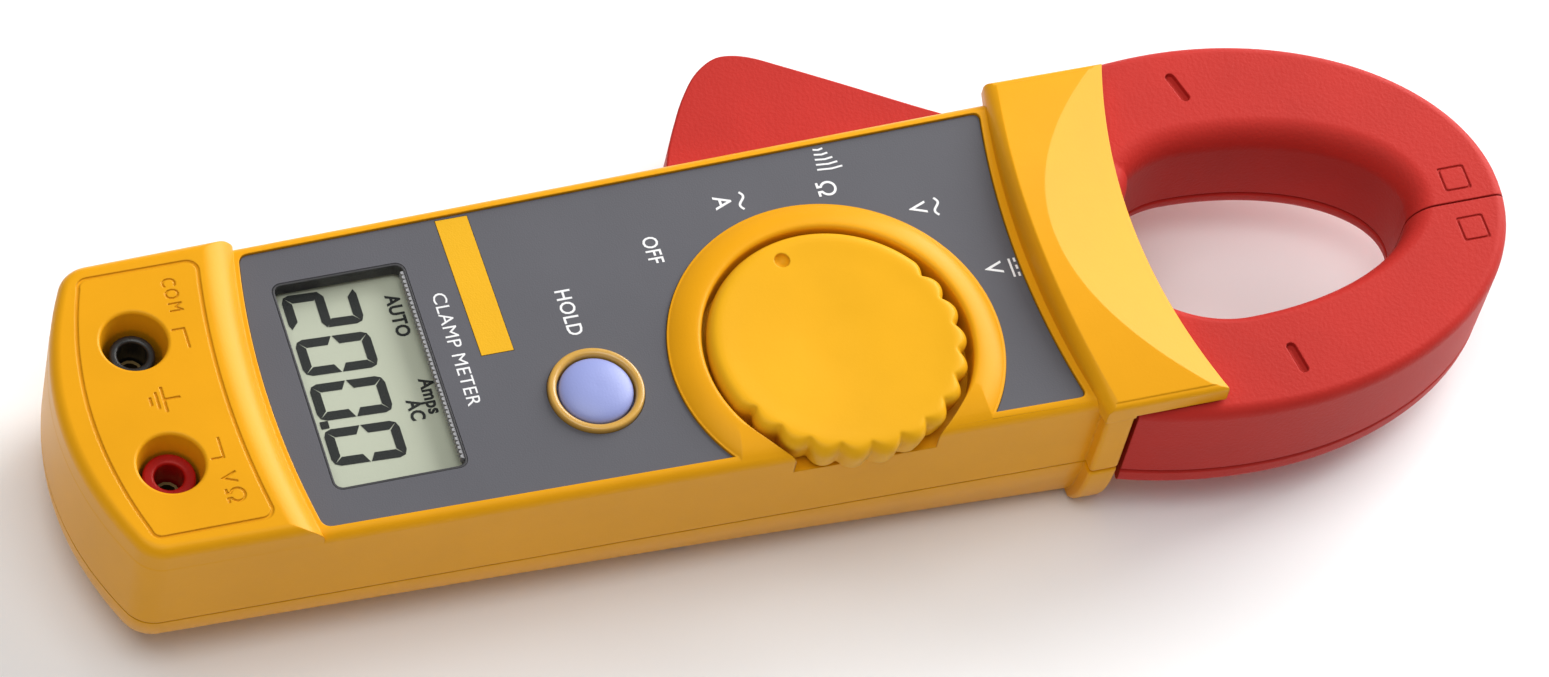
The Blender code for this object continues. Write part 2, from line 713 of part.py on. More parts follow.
def socket_parts(looks):
    bore = 2.1
    for name, (side, outer) in SOCKET_INSERTS.items():
        centre = (side * SOCKET_X, SOCKET_Y)
        top = SOCKET_TOP_Z - 3.6
        tube = (
            (bore, 10.5),
            (outer, 10.5),
            (outer, top - 0.3),
            (outer - 0.3, top),
            (bore + 0.5, top),
            (bore, top - 0.6),
        )
        look = looks["black"] if name == "com" else looks["red"]
        finish(turned(f"{name}_socket", centre, tube, 20, ring=True), look)
        sleeve = ((1.4, 8.5), (bore - 0.25, 8.5), (bore - 0.25, 24.0), (1.4, 24.0))
        finish(turned(f"{name}_contact", centre, sleeve, 12, ring=True), looks["brass"])


# ---------- jaws ----------


def ellipse_point(shape, degrees):
    """A point of an egg made of two half ellipses, its angle measured from +Y towards +X."""
    centre, half, up, down = shape
    angle = math.radians(degrees)
    along = math.cos(angle)
    return (half * math.sin(angle), centre + along * (up if along > 0 else down))


def split_angle(shape, x):
    return math.degrees(math.asin(x / shape[1]))


def jaw_spans(side):
    """Root and split angles of the outer and the inner curve: +1 the fixed jaw, -1 the moving jaw."""
    split = JAW_SPLIT_X + side * 0.15
    ends = (split_angle(JAW_OUTER, split), split_angle(JAW_INNER, split))
    roots = (116.0, 165.0) if side > 0 else (-113.0, -130.0)
    return roots, ends


def jaw_station(side, share):
    """Outer point, unit vector inwards and radial thickness of the jaw, from root 0 to split 1."""
    roots, ends = jaw_spans(side)
    outer = ellipse_point(JAW_OUTER, roots[0] + (ends[0] - roots[0]) * share)
    inner = ellipse_point(JAW_INNER, roots[1] + (ends[1] - roots[1]) * share)
    width = math.dist(outer, inner)
    inward = ((inner[0] - outer[0]) / width, (inner[1] - outer[1]) / width)
    return outer, inward, width


def sweep(name, side, shares, section):
    """Sweeps a closed section along a jaw. The section gives (distance inwards, height) points."""
    loops = []
    for share in shares:
        outer, inward, width = jaw_station(side, share)
        loop = []
        for reach, z in section(width, share):
            loop.append((outer[0] + inward[0] * reach, outer[1] + inward[1] * reach, z))
        loops.append(loop)
    return loft(name, loops)


def cavity_margin(width, share):
    """Shell thickness beside the cavity, which narrows to the core at the split."""
    return JAW_WALL if share < 0.93 else (width - CORE_WIDTH) / 2.0 - 0.3


def shell_section(width, share):
    top = JAW_TOP_Z
    seam = JAW_SEAM_Z + 0.05
    margin = cavity_margin(width, share)
    roof = CORE_Z[1] + 1.9 if share < 0.93 else CORE_Z[1] + 0.3
    chamfer = 1.5 if share < 0.93 else 0.05
    points = [(0.0, seam), (0.0, top - 1.8), (0.5, top - 0.5), (1.8, top)]
    for degrees in (0.0, 30.0, 60.0, 90.0):
        angle = math.radians(degrees)
        points.append((width - 4.0 + 4.0 * math.sin(angle), top - 4.0 + 4.0 * math.cos(angle)))
    points += [(width, seam), (width - margin, seam), (width - margin, roof - chamfer)]
    points += [(width - margin - chamfer, roof), (margin, roof), (margin, seam)]
    return points


def cover_section(width, share):
    low = JAW_BOTTOM_Z
    seam = JAW_SEAM_Z - 0.15
    margin = cavity_margin(width, share)
    floor = CORE_Z[0] - 1.8 if share < 0.93 else seam - 0.05
    points = [(width, seam), (width, low + 3.0), (width - 0.9, low + 0.9), (width - 3.0, low)]
    points += [(1.5, low), (0.4, low + 0.4), (0.0, low + 1.5), (0.0, seam)]
    return points + [(margin, seam), (margin, floor), (width - margin, floor), (width - margin, seam)]


def core_section(width, share):
    low = (width - CORE_WIDTH) / 2.0
    return [(low, CORE_Z[0]), (low, CORE_Z[1]), (width - low, CORE_Z[1]), (width - low, CORE_Z[0])]


def coil_loop(side, share, spread):
    outer, inward, width = jaw_station(side, share)
    low = (width - CORE_WIDTH) / 2.0 - spread
    corners = []
    for reach, z in (
        (low, CORE_Z[0] - spread),
        (low, CORE_Z[1] + spread),
        (width - low, CORE_Z[1] + spread),
        (width - low, CORE_Z[0] - spread),
    ):
        corners.append((outer[0] + inward[0] * reach, outer[1] + inward[1] * reach, z))
    return corners


def sense_coil(name, side, look, origin):
    """A winding round the core: an outer skin and an inner skin joined at both ends."""
    shares = [0.30 + 0.05 * i for i in range(6)]
    outside = [coil_loop(side, share, COIL_THICKNESS) for share in shares]
    inside = [coil_loop(side, share, 0.25) for share in reversed(shares)]
    return finish(loft(name, outside + inside, ring=True), look, origin)


SHARES = [i / 11.0 for i in range(11)] + [0.9299, 0.9301, 1.0]


def lever_outline():
    """Plan of the thumb lever, from the pivot boss round its tip and back."""
    back = [(-26.4, 69.0), (-31.8, 59.6), (-38.6, 48.7), (-43.6, 40.5)]
    tip = [(-45.9, 36.5), (-46.9, 33.2), (-46.6, 30.4), (-44.4, 27.1)]
    front = [(-40.8, 24.2), (-37.2, 22.0), (-32.7, 19.6), (-28.5, 18.0), (-26.0, 17.6)]
    inside = [(-24.6, 20.0), (-14.6, 50.0), (-14.0, 60.0), (-10.5, 66.5), (-16.0, 74.0)]
    return back + tip + front + inside


def jaw_mark(centre, degrees):
    """A cutter for the engraved mark on a jaw's top face, turned about Z."""
    turn = math.radians(degrees)
    outline = []
    for x, y in rounded_box(MARK_HALF, MARK_HALF[1] - 0.01):
        along = centre[0] + x * math.cos(turn) - y * math.sin(turn)
        outline.append((along, centre[1] + x * math.sin(turn) + y * math.cos(turn)))
    return prism("mark", outline, JAW_TOP_Z - 0.7, 40.0)


def moving_jaw(looks):
    pivot = (*PIVOT, JAW_SEAM_Z)
    seam = JAW_SEAM_Z + 0.05
    shell = sweep("moving_jaw_shell", -1, SHARES, shell_section)
    lever = soften(prism("lever", lever_outline(), seam, LEVER_TOP_Z), 1.0, 2, 50.0)
    boss = prism("boss", circle(PIVOT, BOSS_RADIUS, 28), seam, JAW_TOP_Z - 0.1)
    join(shell, boss, lever)
    level = box("level", (-REACH, 0.0, 0.0), (REACH, 160.0, seam + 0.02))
    pocket = [(-39.5, 38.5), (-40.5, 33.5), (-32.5, 25.0), (-27.0, 22.5)]
    pocket += [(-19.5, 46.0), (-20.0, 60.0), (-29.0, 57.5)]
    cut(shell, level, prism("pocket", pocket, 5.0, LEVER_TOP_Z - 2.2))
    join(shell, prism("post", circle(LEVER_SCREW, 2.6, 16), seam + 0.02, LEVER_TOP_Z - 1.0))
    cut(shell, prism("thread", circle(LEVER_SCREW, 1.3, 12), 5.0, 19.0))
    cut(shell, prism("pin_hole", circle(PIVOT, PIVOT_RADIUS + GAP, 16), 0.0, 40.0))
    cut(shell, jaw_mark((-24.6, 96.4), 16.0))
    finish(shell, looks["jaw_red"], pivot)
    under = JAW_SEAM_Z - 0.15
    cover = sweep("moving_jaw_cover", -1, SHARES, cover_section)
    plate = prism("plate", lever_outline(), LEVER_BOTTOM_Z, under + 1.0)
    boss = prism("boss", circle(PIVOT, BOSS_RADIUS, 28), JAW_BOTTOM_Z, under + 1.0)
    join(cover, boss, plate)
    cut(cover, box("level", (-REACH, 0.0, under - 0.02), (REACH, 160.0, 60.0)))
    cut(cover, prism("spring_hole", circle(PIVOT, 7.2, 20), 0.0, 40.0))
    cut(cover, turned("screw_hole", LEVER_SCREW, ((2.3, 5.0), (2.3, 10.2), (1.3, 10.2), (1.3, 20.0)), 16))
    finish(cover, looks["jaw_red"], pivot)
    finish(sweep("moving_core", -1, SHARES[2:], core_section), looks["iron"], pivot)
    sense_coil("moving_coil", -1, looks["copper"], pivot)
    screw("lever_screw", LEVER_SCREW, 2.0, (9.1, 9.9), 17.5, 1.0, looks["steel"], pivot)


def fixed_root(low, high):
    """The part of the fixed jaw that the casing holds, hollowed round the swing of the moving boss."""
    near = half_width(60.0) - WALL - 0.5
    outline = [(-1.5, 62.0), (near, 62.0), (near, 71.7), (22.0, 77.5), (4.0, 79.2), (-4.0, 78.2)]
    return cut(prism("root", outline, low, high), swing_room())


def swing_room():
    """A cutter for the space that the moving jaw's boss turns in."""
    return prism("swing", circle(PIVOT, BOSS_RADIUS + 0.6, 32), 0.0, 60.0)


def fixed_jaw(looks):
    seam = JAW_SEAM_Z + 0.05
    shell = sweep("fixed_jaw_shell", 1, SHARES, shell_section)
    join(shell, fixed_root(seam, JAW_TOP_Z - 0.1))
    cut(shell, box("level", (-REACH, 0.0, 0.0), (REACH, 160.0, seam + 0.02)))
    cut(shell, box("pocket", (1.5, 64.5, 5.0), (21.5, 73.5, JAW_TOP_Z - 3.0)))
    join(shell, prism("post", circle(ROOT_SCREW, 2.6, 16), seam + 0.02, JAW_TOP_Z - 2.0))
    cut(shell, swing_room(), prism("thread", circle(ROOT_SCREW, 1.3, 12), 5.0, 19.0))
    cut(shell, jaw_mark((24.4, 98.2), 9.0))
    finish(shell, looks["jaw_red"])
    under = JAW_SEAM_Z - 0.15
    cover = sweep("fixed_jaw_cover", 1, SHARES, cover_section)
    join(cover, fixed_root(JAW_BOTTOM_Z, under + 1.0))
    cut(cover, box("level", (-REACH, 0.0, under - 0.02), (REACH, 160.0, 60.0)))
    cut(cover, swing_room())
    cut(cover, turned("screw_hole", ROOT_SCREW, ((2.3, 5.0), (2.3, 9.0), (1.3, 9.0), (1.3, 20.0)), 16))
    finish(cover, looks["jaw_red"])
    finish(sweep("fixed_core", 1, SHARES[3:], core_section), looks["iron"])
    sense_coil("fixed_coil", 1, looks["copper"], (0.0, 0.0, 0.0))
    screw("root_screw", ROOT_SCREW, 2.0, (7.7, 8.7), 17.5, 1.0, looks["steel"])


def jaw_hardware(looks):
    low, high = PIN_Z
    narrow = PIVOT_RADIUS - 0.4
    pin = ((narrow, low), (PIVOT_RADIUS, low + 0.4), (PIVOT_RADIUS, high - 0.4), (narrow, high))
    finish(turned("jaw_pivot_pin", PIVOT, pin, 16), looks["steel"])
    ends = (JAW_BOTTOM_Z + 0.6, JAW_SEAM_Z - 0.7)
    spring = coil("jaw_return_spring", (*PIVOT, 0.0), 2, 5.2, 0.45, *ends, 2.5, 10, 5)
    finish(spring, looks["steel"])


# ---------- inside ----------


def main_board(look):
    outline = [(-21.5, -52.0), (21.5, -52.0), (22.6, 13.0), (23.2, 60.0)]
    outline += [(-2.8, 60.0), (-2.8, 14.0), (-22.0, 14.0)]
    board = prism("main_board", outline, *BOARD_Z)
    for x, y in CASE_SCREWS[1:]:
        cut(board, prism("boss_hole", circle((x, y), 3.6, 16), 10.0, 30.0))
    return finish(board, look)


def power_parts(looks):
    for number, side in ((1, -1), (2, 1)):
        x = side * CELL_X
        shoulder = CELL_Y[1] - 1.0
        profile = ((CELL_RADIUS, CELL_Y[0]), (CELL_RADIUS, shoulder), (1.9, shoulder), (1.9, CELL_Y[1]))
        loops = []
        for radius, along in profile:
            loops.append([(x + a, along, CELL_Z + b) for a, b in circle((0.0, 0.0), radius, 16)])
        finish(loft(f"battery_{number}", loops), looks["cell"])
        ends = (CELL_Y[0] - 2.4, CELL_Y[0] - 0.7)
        spring = coil(f"cell_spring_{number}", (x, 0.0, CELL_Z), 1, 2.6, 0.3, *ends, 2.0, 10, 5)
        finish(spring, looks["steel"])
    low = (-9.0, CELL_Y[1] + GAP, CELL_Z - 3.0)
    finish(box("cell_link_plate", low, (9.0, CELL_Y[1] + 0.7, CELL_Z + 3.0)), looks["steel"])
    half = (CELL_X + CELL_RADIUS + 1.6, (DOOR_Y[1] - DOOR_Y[0]) / 2.0 + 0.6)
    centre = (DOOR_Y[0] + DOOR_Y[1]) / 2.0
    tray = prism("battery_tray", moved(rounded_box(half, 1.0, 1), 0.0, centre), 4.4, 15.6)
    inner = (half[0] - 1.2, half[1] - 1.2)
    cut(tray, prism("pocket", moved(rounded_box(inner, 0.5, 1), 0.0, centre), 0.0, 14.2))
    cut(tray, back_clearance())
    finish(tray, looks["dark_plastic"])


def back_clearance():
    """What lies outside the hollow of the back shell, as a cutter for the pieces that stand in it."""
    block = box("outside", (-REACH, -100.0, -5.0), (REACH, 64.0, SEAM_Z))
    loops = []
    for i in range(5):
        z = BACK_FLOOR_Z + (SEAM_Z - BACK_FLOOR_Z) * i / 4.0
        side, end = back_inset(z)
        if i == 4:
            z = SEAM_Z + 1.0
        loops.append(body_outline(z, (side[0] + WALL + GAP, side[1]), end + WALL + GAP, 63.0, radius=3.2))
    return cut(block, loft("core", loops))


def buzzer(look):
    centre = (11.0, 30.0)
    body = prism("buzzer", circle(centre, 6.0, 28), 12.9, BOARD_Z[0] - GAP)
    cut(body, prism("port", circle(centre, 1.0, 12), 10.0, 15.0))
    return finish(body, look)


def make_looks():
    return {
        "yellow": material("case_yellow", (0.86, 0.40, 0.02), 0.38),
        "panel": material("panel_grey", (0.105, 0.105, 0.115), 0.5),
        "badge": material("badge_yellow", (0.86, 0.45, 0.02), 0.4),
        "jaw_red": material("jaw_red", (0.62, 0.05, 0.045), 0.48),
        "lavender": material("button_lavender", (0.25, 0.30, 0.62), 0.35),
        "gold": material("ring_gold", (0.62, 0.33, 0.05), 0.35),
        "black": material("socket_black", (0.02, 0.02, 0.02), 0.4),
        "red": material("socket_red", (0.55, 0.02, 0.02), 0.4),
        "brass": material("contact_brass", (0.8, 0.58, 0.25), 0.3, 1.0),
        "steel": material("spring_steel", (0.55, 0.55, 0.57), 0.3, 1.0),
        "iron": material("core_iron", (0.32, 0.32, 0.34), 0.45, 1.0),
        "copper": material("coil_copper", (0.72, 0.32, 0.12), 0.4, 1.0),
        "lcd": material("lcd_glass", (0.45, 0.48, 0.38), 0.25),
        "clear": material("clear_window", (0.85, 0.87, 0.86), 0.1),
        "dark_plastic": material("inner_plastic", (0.04, 0.04, 0.045), 0.6),
        "rubber": material("strip_rubber", (0.3, 0.12, 0.1), 0.8),
        "board": material("board_green", (0.02, 0.16, 0.07), 0.5),
        "cell": material("cell_sleeve", (0.05, 0.05, 0.07), 0.35),
    }


def main():
    clear_scene()
    looks = make_looks()
    front_shell(looks["yellow"])
    back_shell(looks["yellow"])
    battery_door(looks["yellow"])
    screw("door_screw", DOOR_SCREW, 2.2, (0.15, 0.75), 3.4, 1.05, looks["steel"])
    for number, place in enumerate(CASE_SCREWS, 1):
        screw(f"case_screw_{number}", place, 2.5, (0.9, 2.6), 19.0, 1.2, looks["steel"])
    face_panel(looks["panel"])
    badge_strip(looks["badge"])
    display(looks)
    button_parts(looks)
    dial_parts(looks)
    socket_parts(looks)
    moving_jaw(looks)
    fixed_jaw(looks)
    jaw_hardware(looks)
    main_board(looks["board"])
    power_parts(looks)
    buzzer(looks["dark_plastic"])


main()
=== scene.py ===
"""The looks of the clamp meter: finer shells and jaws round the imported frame, legends and materials.

Sizes are in millimetres unless they come straight from the frame, which is in metres.
"""

import json
import math

import bpy
from mathutils import Matrix, Vector


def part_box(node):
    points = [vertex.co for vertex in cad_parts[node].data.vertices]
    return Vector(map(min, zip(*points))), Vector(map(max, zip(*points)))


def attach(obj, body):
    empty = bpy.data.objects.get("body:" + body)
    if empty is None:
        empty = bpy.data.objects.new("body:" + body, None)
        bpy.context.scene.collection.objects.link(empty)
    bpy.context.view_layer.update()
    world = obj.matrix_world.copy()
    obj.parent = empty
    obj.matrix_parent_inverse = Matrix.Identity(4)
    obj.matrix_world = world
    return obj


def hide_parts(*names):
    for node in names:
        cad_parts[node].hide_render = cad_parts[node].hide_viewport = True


MM = 0.001
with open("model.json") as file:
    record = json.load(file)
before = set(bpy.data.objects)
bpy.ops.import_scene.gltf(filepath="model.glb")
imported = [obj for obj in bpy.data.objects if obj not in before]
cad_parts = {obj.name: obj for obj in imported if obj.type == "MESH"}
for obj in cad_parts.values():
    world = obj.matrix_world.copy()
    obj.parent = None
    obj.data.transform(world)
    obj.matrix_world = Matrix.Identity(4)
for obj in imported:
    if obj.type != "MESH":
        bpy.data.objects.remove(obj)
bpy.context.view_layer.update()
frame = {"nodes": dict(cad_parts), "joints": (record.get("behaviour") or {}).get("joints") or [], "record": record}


def mm_box(node):
    low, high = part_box(node)
    return low / MM, high / MM


def joint_place(name):
    return [value / MM for joint in frame["joints"] if joint["name"] == name for value in joint["pos_m"]]


def middle(node):
    low, high = mm_box(node)
    return ((low.x + high.x) / 2.0, (low.y + high.y) / 2.0)


SHELL_LOW, SHELL_HIGH = mm_box("front_shell")
PANEL_Z = mm_box("face_panel")[1].z
END_Y = SHELL_LOW.y
DIAL = joint_place("dial_turn")[:2]
DIAL_TOP_Z = mm_box("switch_knob")[1].z
PIVOT = joint_place("jaw_pivot")[:2]
BUTTON = middle("hold_button")
SOCKETS = {name: middle(f"{name}_socket") for name in ("com", "volt")}
LCD_TOP_Z = mm_box("lcd_cell")[1].z
JAW_TOP_Z = mm_box("fixed_jaw_shell")[1].z
JAW_BOTTOM_Z = mm_box("fixed_jaw_cover")[0].z

# Casing. CLIP keeps joined parts from sharing a face.
HALF_WIDTH = 25.8
WIDTH_TAPER = 0.0175
END_ARC = 0.0115
CORNER_RADIUS = 5.0
BODY_TOP_Y = 67.2
WALL = 2.0
CLIP = 0.05
SEAM_Z = 13.0
BORDER_Z = PANEL_Z + 0.4
EDGE_ROUNDING = 1.7
CEILING_Z = PANEL_Z - 2.1
SEAT_Z = PANEL_Z - 0.9
SOCKET_TOP_Z = PANEL_Z + 3.6
BACK_FLOOR_Z = 2.0
BACK_CURVE = (9.65, -0.076)
BACK_END_CURVE = 12.0
DOOR_HALF_WIDTH = 12.6
DOOR_Y = (-58.5, -9.0)
GRIP_PITCH = 1.7
CASE_SCREWS = [middle(f"case_screw_{number}") for number in (1, 2, 3, 4)]
REACH = 60.0
BLOCK_Y = -51.9
BLOCK_RUN = 5.2
SLOT_Y = 16.3
ENGRAVING = 0.22
UPPER_FOOT_Z = SEAM_Z + 0.1
LOWER_RIM_Z = SEAM_Z - 0.1
SOCKET_CEILING_Z = SOCKET_TOP_Z - 2.2
DOORWAY_Z = (-5.0, 10.0)

# Cutters: a height above the whole meter, and the span that goes through the face
CUT_TOP = 40.0
FACE_CUT = (20.0, CUT_TOP)

# Face
PANEL_HALF_WIDTH = 24.1
PANEL_TAPER = 0.0186
PANEL_BOTTOM_Y = -51.2
PANEL_TOP_Y = 62.2
PANEL_CORNER = 1.4
SMILE = 0.004
LCD_Y = -36.0
LCD_HALF = (17.6, 9.95)
LCD_CORNER = 1.5
COMB_PITCH = 0.75
BADGE_Y = (-19.4, -14.6)
BUTTON_RADIUS = 5.4
BUTTON_RING_RADIUS = 7.0
DIAL_RING_RADIUS = 24.7
DIAL_WELL_RADIUS = 19.8
DIAL_RADIUS = 19.1
DIAL_FLOOR_Z = PANEL_Z - 3.9
RING_LIP = 0.7
RING_CLIP = (-1.3, 1.95, 9.0)  # start and end above the face, and inwards reach
FLUTE_PITCH = 15.0
FLUTE_DEPTH = 1.25
FLUTES = (-61.5, 118.5)  # first and last groove, in degrees
KNOB_SIDES = 480
KNOB_FILLET = 1.8
SHAFT_RADIUS = 3.2
POINTER = (195.0, 15.4)  # degrees and radius
SOCKET_MOUTH = 4.75
MOUTH_LIP = 0.6
SOCKET_THROAT = 4.3
SOCKET_FLOOR_Z = 21.0
FRAME_HALF_WIDTH = 22.0
FRAME_CORNER = 1.8
FRAME_Y = (-77.3, -57.5)
FRAME_BOW = 0.0085
SOCKET_INSERTS = {"com": 3.3, "volt": 3.8}

# Collar and cap
COLLAR_Y = (66.8, 71.3)
COLLAR_HALF_WIDTH = 29.2
COLLAR_CURVE = 5.0
CAP_TOP_Z = SHELL_HIGH.z
CAP_EDGE_Z = PANEL_Z + 2.0
CAP_BACK_Y = 63.4
CAP_BACK_BOW = 3.2
CAP_BACK_RUN = 1.6
CAP_BACK_SPREAD = 1.1
CAP_FRONT_Y = 80.5
CAP_CORNER_Y = 85.2
CAP_UNDER_Z = PANEL_Z - 1.1
FACET_Y = 67.3
FACET_SLOPE = 0.25
FACET_ARCH = 16.6
LIP_TOP_Z = 7.0

# Jaws. A share runs along a jaw from its root, 0, to the split, 1. Beyond NECK the hollow just fits the core.
JAW_SEAM_Z = 11.5
JAW_OUTER = (94.0, 32.0, 45.5, 50.0)  # see ellipse_point
JAW_INNER = (94.0, 15.0, 30.6, 16.0)
FIXED_ROOT = (116.0, 165.0)  # angles on the outer and inner outline where the jaw starts
MOVING_ROOT = (-113.0, -130.0)
JAW_WALL = 2.2
JAW_SPLIT_X = 3.5
SPLIT_GAP = 0.3
MARK_HALF = (2.7, 0.75)
TIP_SQUARE_HALF = 2.1
NECK = 0.93
SHARES = [i / 60.0 for i in range(56)] + [0.9299, 0.9301, 0.96, 0.99, 1.0]
UPPER_SEAM = JAW_SEAM_Z + 0.05
LOWER_SEAM = JAW_SEAM_Z - 0.15
CORE_WIDTH = 7.0
CORE_Z = (11.6, 22.6)
PIN_HOLE = 2.3
BOSS_RADIUS = 11.5
LEVER_TOP_Z = 22.0
LEVER_BOTTOM_Z = 9.0
LEVER_SCREW = (-29.0, 38.0)
ROOT_SCREW = (12.0, 69.0)

# Display and print
DIGIT_SIZE = (6.3, 11.1)
DIGIT_STROKE = 1.55
DIGIT_CORNER = 1.2
DIGIT_PITCH = 7.65
DIGIT_START = (-17.3, -44.3)
DIGIT_SLANT = 0.045
DIGIT_GAP = 0.07
INK_Z = (PANEL_Z + 0.005, PANEL_Z + 0.03)
WORD, SIGN, SMALL = 2.35, 2.7, 2.1  # letter heights
STROKE = 0.34

ROUND = 160  # sides of the large turned shapes
WHITE = (1.0, 1.0, 1.0)
GOLD_SHEEN = (1.0, 0.72, 0.3)
RED_SHEEN = (1.0, 0.35, 0.3)
LIGHT_AIM = (0.0, 0.03, 0.02)


# ---------- mesh tools ----------


def placed(name, data):
    """A new object in the scene that holds the data."""
    made = bpy.data.objects.new(name, data)
    bpy.context.scene.collection.objects.link(made)
    return made


def activate(item):
    bpy.ops.object.select_all(action="DESELECT")
    item.select_set(True)
    bpy.context.view_layer.objects.active = item


def face_outwards(item, merge=False):
    activate(item)
    bpy.ops.object.mode_set(mode="EDIT")
    bpy.ops.mesh.select_all(action="SELECT")
    if merge:
        bpy.ops.mesh.remove_doubles(threshold=1e-6)
    bpy.ops.mesh.normals_make_consistent(inside=False)
    bpy.ops.object.mode_set(mode="OBJECT")
    return item


def loft(name, loops, ring=False):
    """Skins equal loops of points. A ring closes on its first loop, and anything else gets end caps."""
    count = len(loops[0])
    points = [point for loop in loops for point in loop]
    faces = []
    for i in range(len(loops) if ring else len(loops) - 1):
        here = i * count
        there = (i + 1) % len(loops) * count
        for j in range(count):
            k = (j + 1) % count
            faces.append((here + j, here + k, there + k, there + j))
    if not ring:
        faces.append(tuple(range(count)))
        faces.append(tuple(range(len(points) - count, len(points))))
    mesh = bpy.data.meshes.new(name)
    mesh.from_pydata([[value * MM for value in point] for point in points], [], faces)
    return face_outwards(placed(name, mesh))


def prism(name, outline, low, high):
    return loft(name, [[(x, y, z) for x, y in outline] for z in (low, high)])


def box(name, low, high):
    outline = ((low[0], low[1]), (high[0], low[1]), (high[0], high[1]), (low[0], high[1]))
    return prism(name, outline, low[2], high[2])


def arc(centre, radius, start, end, steps):
    """Points on an arc, its angles in degrees, both ends included."""
    angles = [math.radians(start + (end - start) * i / steps) for i in range(steps + 1)]
    return [(centre[0] + radius * math.cos(a), centre[1] + radius * math.sin(a)) for a in angles]


def circle(centre, radius, steps=48):
    return arc(centre, radius, 0.0, 360.0, steps)[:-1]


def turned(name, centre, profile, steps=48, ring=False):
    """Turns (radius, height) points about a vertical axis."""
    loops = [[(x, y, z) for x, y in circle(centre, radius, steps)] for radius, z in profile]
    return loft(name, loops, ring)


def rounded_box(half, radius, steps=8):
    x = half[0] - radius
    y = half[1] - radius
    points = []
    for start, centre in ((0, (x, y)), (90, (-x, y)), (180, (-x, -y)), (270, (x, -y))):
        points += arc(centre, radius, start, start + 90, steps)
    return points


def moved(outline, dx, dy):
    return [(x + dx, y + dy) for x, y in outline]


def bore(centre, radius, low=0.0, high=CUT_TOP, steps=32):
    """A round upright cutter, also used for bosses and posts."""
    return prism("bore", circle(centre, radius, steps), low, high)


def apply(item, modifier):
    activate(item)
    bpy.ops.object.modifier_apply(modifier=modifier.name)
    return item


def combine(target, tool, operation):
    modifier = target.modifiers.new(operation.lower(), "BOOLEAN")
    modifier.object = tool
    modifier.operation = operation
    modifier.solver = "EXACT"
    apply(target, modifier)
    bpy.data.objects.remove(tool)
    return target


def cut(target, *tools):
    for tool in tools:
        combine(target, tool, "DIFFERENCE")
    return target


def join(target, *tools):
    for tool in tools:
        combine(target, tool, "UNION")
    return target


def soften(item, width, segments=3, limit=40.0):
    modifier = item.modifiers.new("soften", "BEVEL")
    modifier.width = width * MM
    modifier.segments = segments
    modifier.limit_method = "ANGLE"
    modifier.angle_limit = math.radians(limit)
    return apply(item, modifier)


def quarter(steps):
    """Sine and one minus cosine over a quarter turn."""
    angles = [math.pi / 2.0 * i / steps for i in range(steps + 1)]
    return [(math.sin(a), 1.0 - math.cos(a)) for a in angles]


def piece(item, body, look, slot, *nodes, name=None, crease=32.0):
    """Hangs a finished piece on its body, with its material and the CAD nodes it stands for."""
    if name:
        item.name = name
    item.data.materials.clear()
    item.data.materials.append(look)
    item.data.shade_smooth()
    item.data.set_sharp_from_angle(angle=math.radians(crease))
    weighted = item.modifiers.new("even_shading", "WEIGHTED_NORMAL")
    weighted.keep_sharp = True
    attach(item, body)
    if nodes:
        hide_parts(*nodes)
    return item


# ---------- casing ----------


def half_width(y):
    return HALF_WIDTH + WIDTH_TAPER * y


def body_outline(z, side=(0.0, 0.0), end=0.0, top=BODY_TOP_Y, bow=0.0, radius=CORNER_RADIUS):
    """A loop round the body at height z. The side inset is side[0] + side[1] * y."""

    def edge(y):
        return half_width(y) - side[0] - side[1] * y

    y0 = END_Y + end
    lean = math.degrees(math.atan(2.0 * END_ARC * (edge(y0) - 0.6 * radius)))
    lean_sin = math.sin(math.radians(lean))
    lean_cos = math.cos(math.radians(lean))
    corner_x = edge(y0 + 7.0) - radius * (1.0 - lean_sin)
    corner_y = y0 + END_ARC * corner_x**2
    centre = (corner_x - radius * lean_sin, corner_y + radius * lean_cos)
    right = arc(centre, radius, lean - 90.0, 0.0, 12)
    left = [(-x, y) for x, y in reversed(right)]
    bottom = [(x, y0 + END_ARC * x * x) for x in [corner_x * i / 12.0 for i in range(-11, 12)]]
    wide = edge(top + bow * half_width(top) ** 2)
    across = [(wide * i / 12.0, top + bow * (wide * i / 12.0) ** 2) for i in range(12, -13, -1)]
    return [(x, y, z) for x, y in left + bottom + right + across]


def case_loops():
    """Loops of the upper case, which rise from the seam and round over inwards at the top."""
    loops = [body_outline(UPPER_FOOT_Z)]
    for sine, drop in quarter(10):
        inset = EDGE_ROUNDING * drop
        z = BORDER_Z - EDGE_ROUNDING * (1.0 - sine)
        loops.append(body_outline(z, (inset, 0.0), inset, radius=CORNER_RADIUS - inset * 0.6))
    return loops


def socket_block():
    """The raised socket end, whose bowed slope to the face is an S-curve."""
    foot = BORDER_Z - 0.3
    loops = [body_outline(z, (CLIP, 0.0), CLIP, BLOCK_Y, SMILE) for z in (CEILING_Z - 4.0, foot)]
    for i in range(1, 21):
        turn = i / 20.0 * math.pi / 2.0
        height = foot + (SOCKET_TOP_Z - foot) * math.sin(turn)
        run = BLOCK_Y - BLOCK_RUN * (1.0 - math.cos(turn)) ** 0.75
        over = max(0.0, height - (SOCKET_TOP_Z - EDGE_ROUNDING)) / EDGE_ROUNDING
        inset = CLIP + EDGE_ROUNDING * (1.0 - math.sqrt(max(0.0, 1.0 - over * over)))
        radius = CORNER_RADIUS - 0.6 * (inset - CLIP)
        loops.append(body_outline(height, (inset, 0.0), inset, run, SMILE, radius))
    return loft("socket_block", loops)


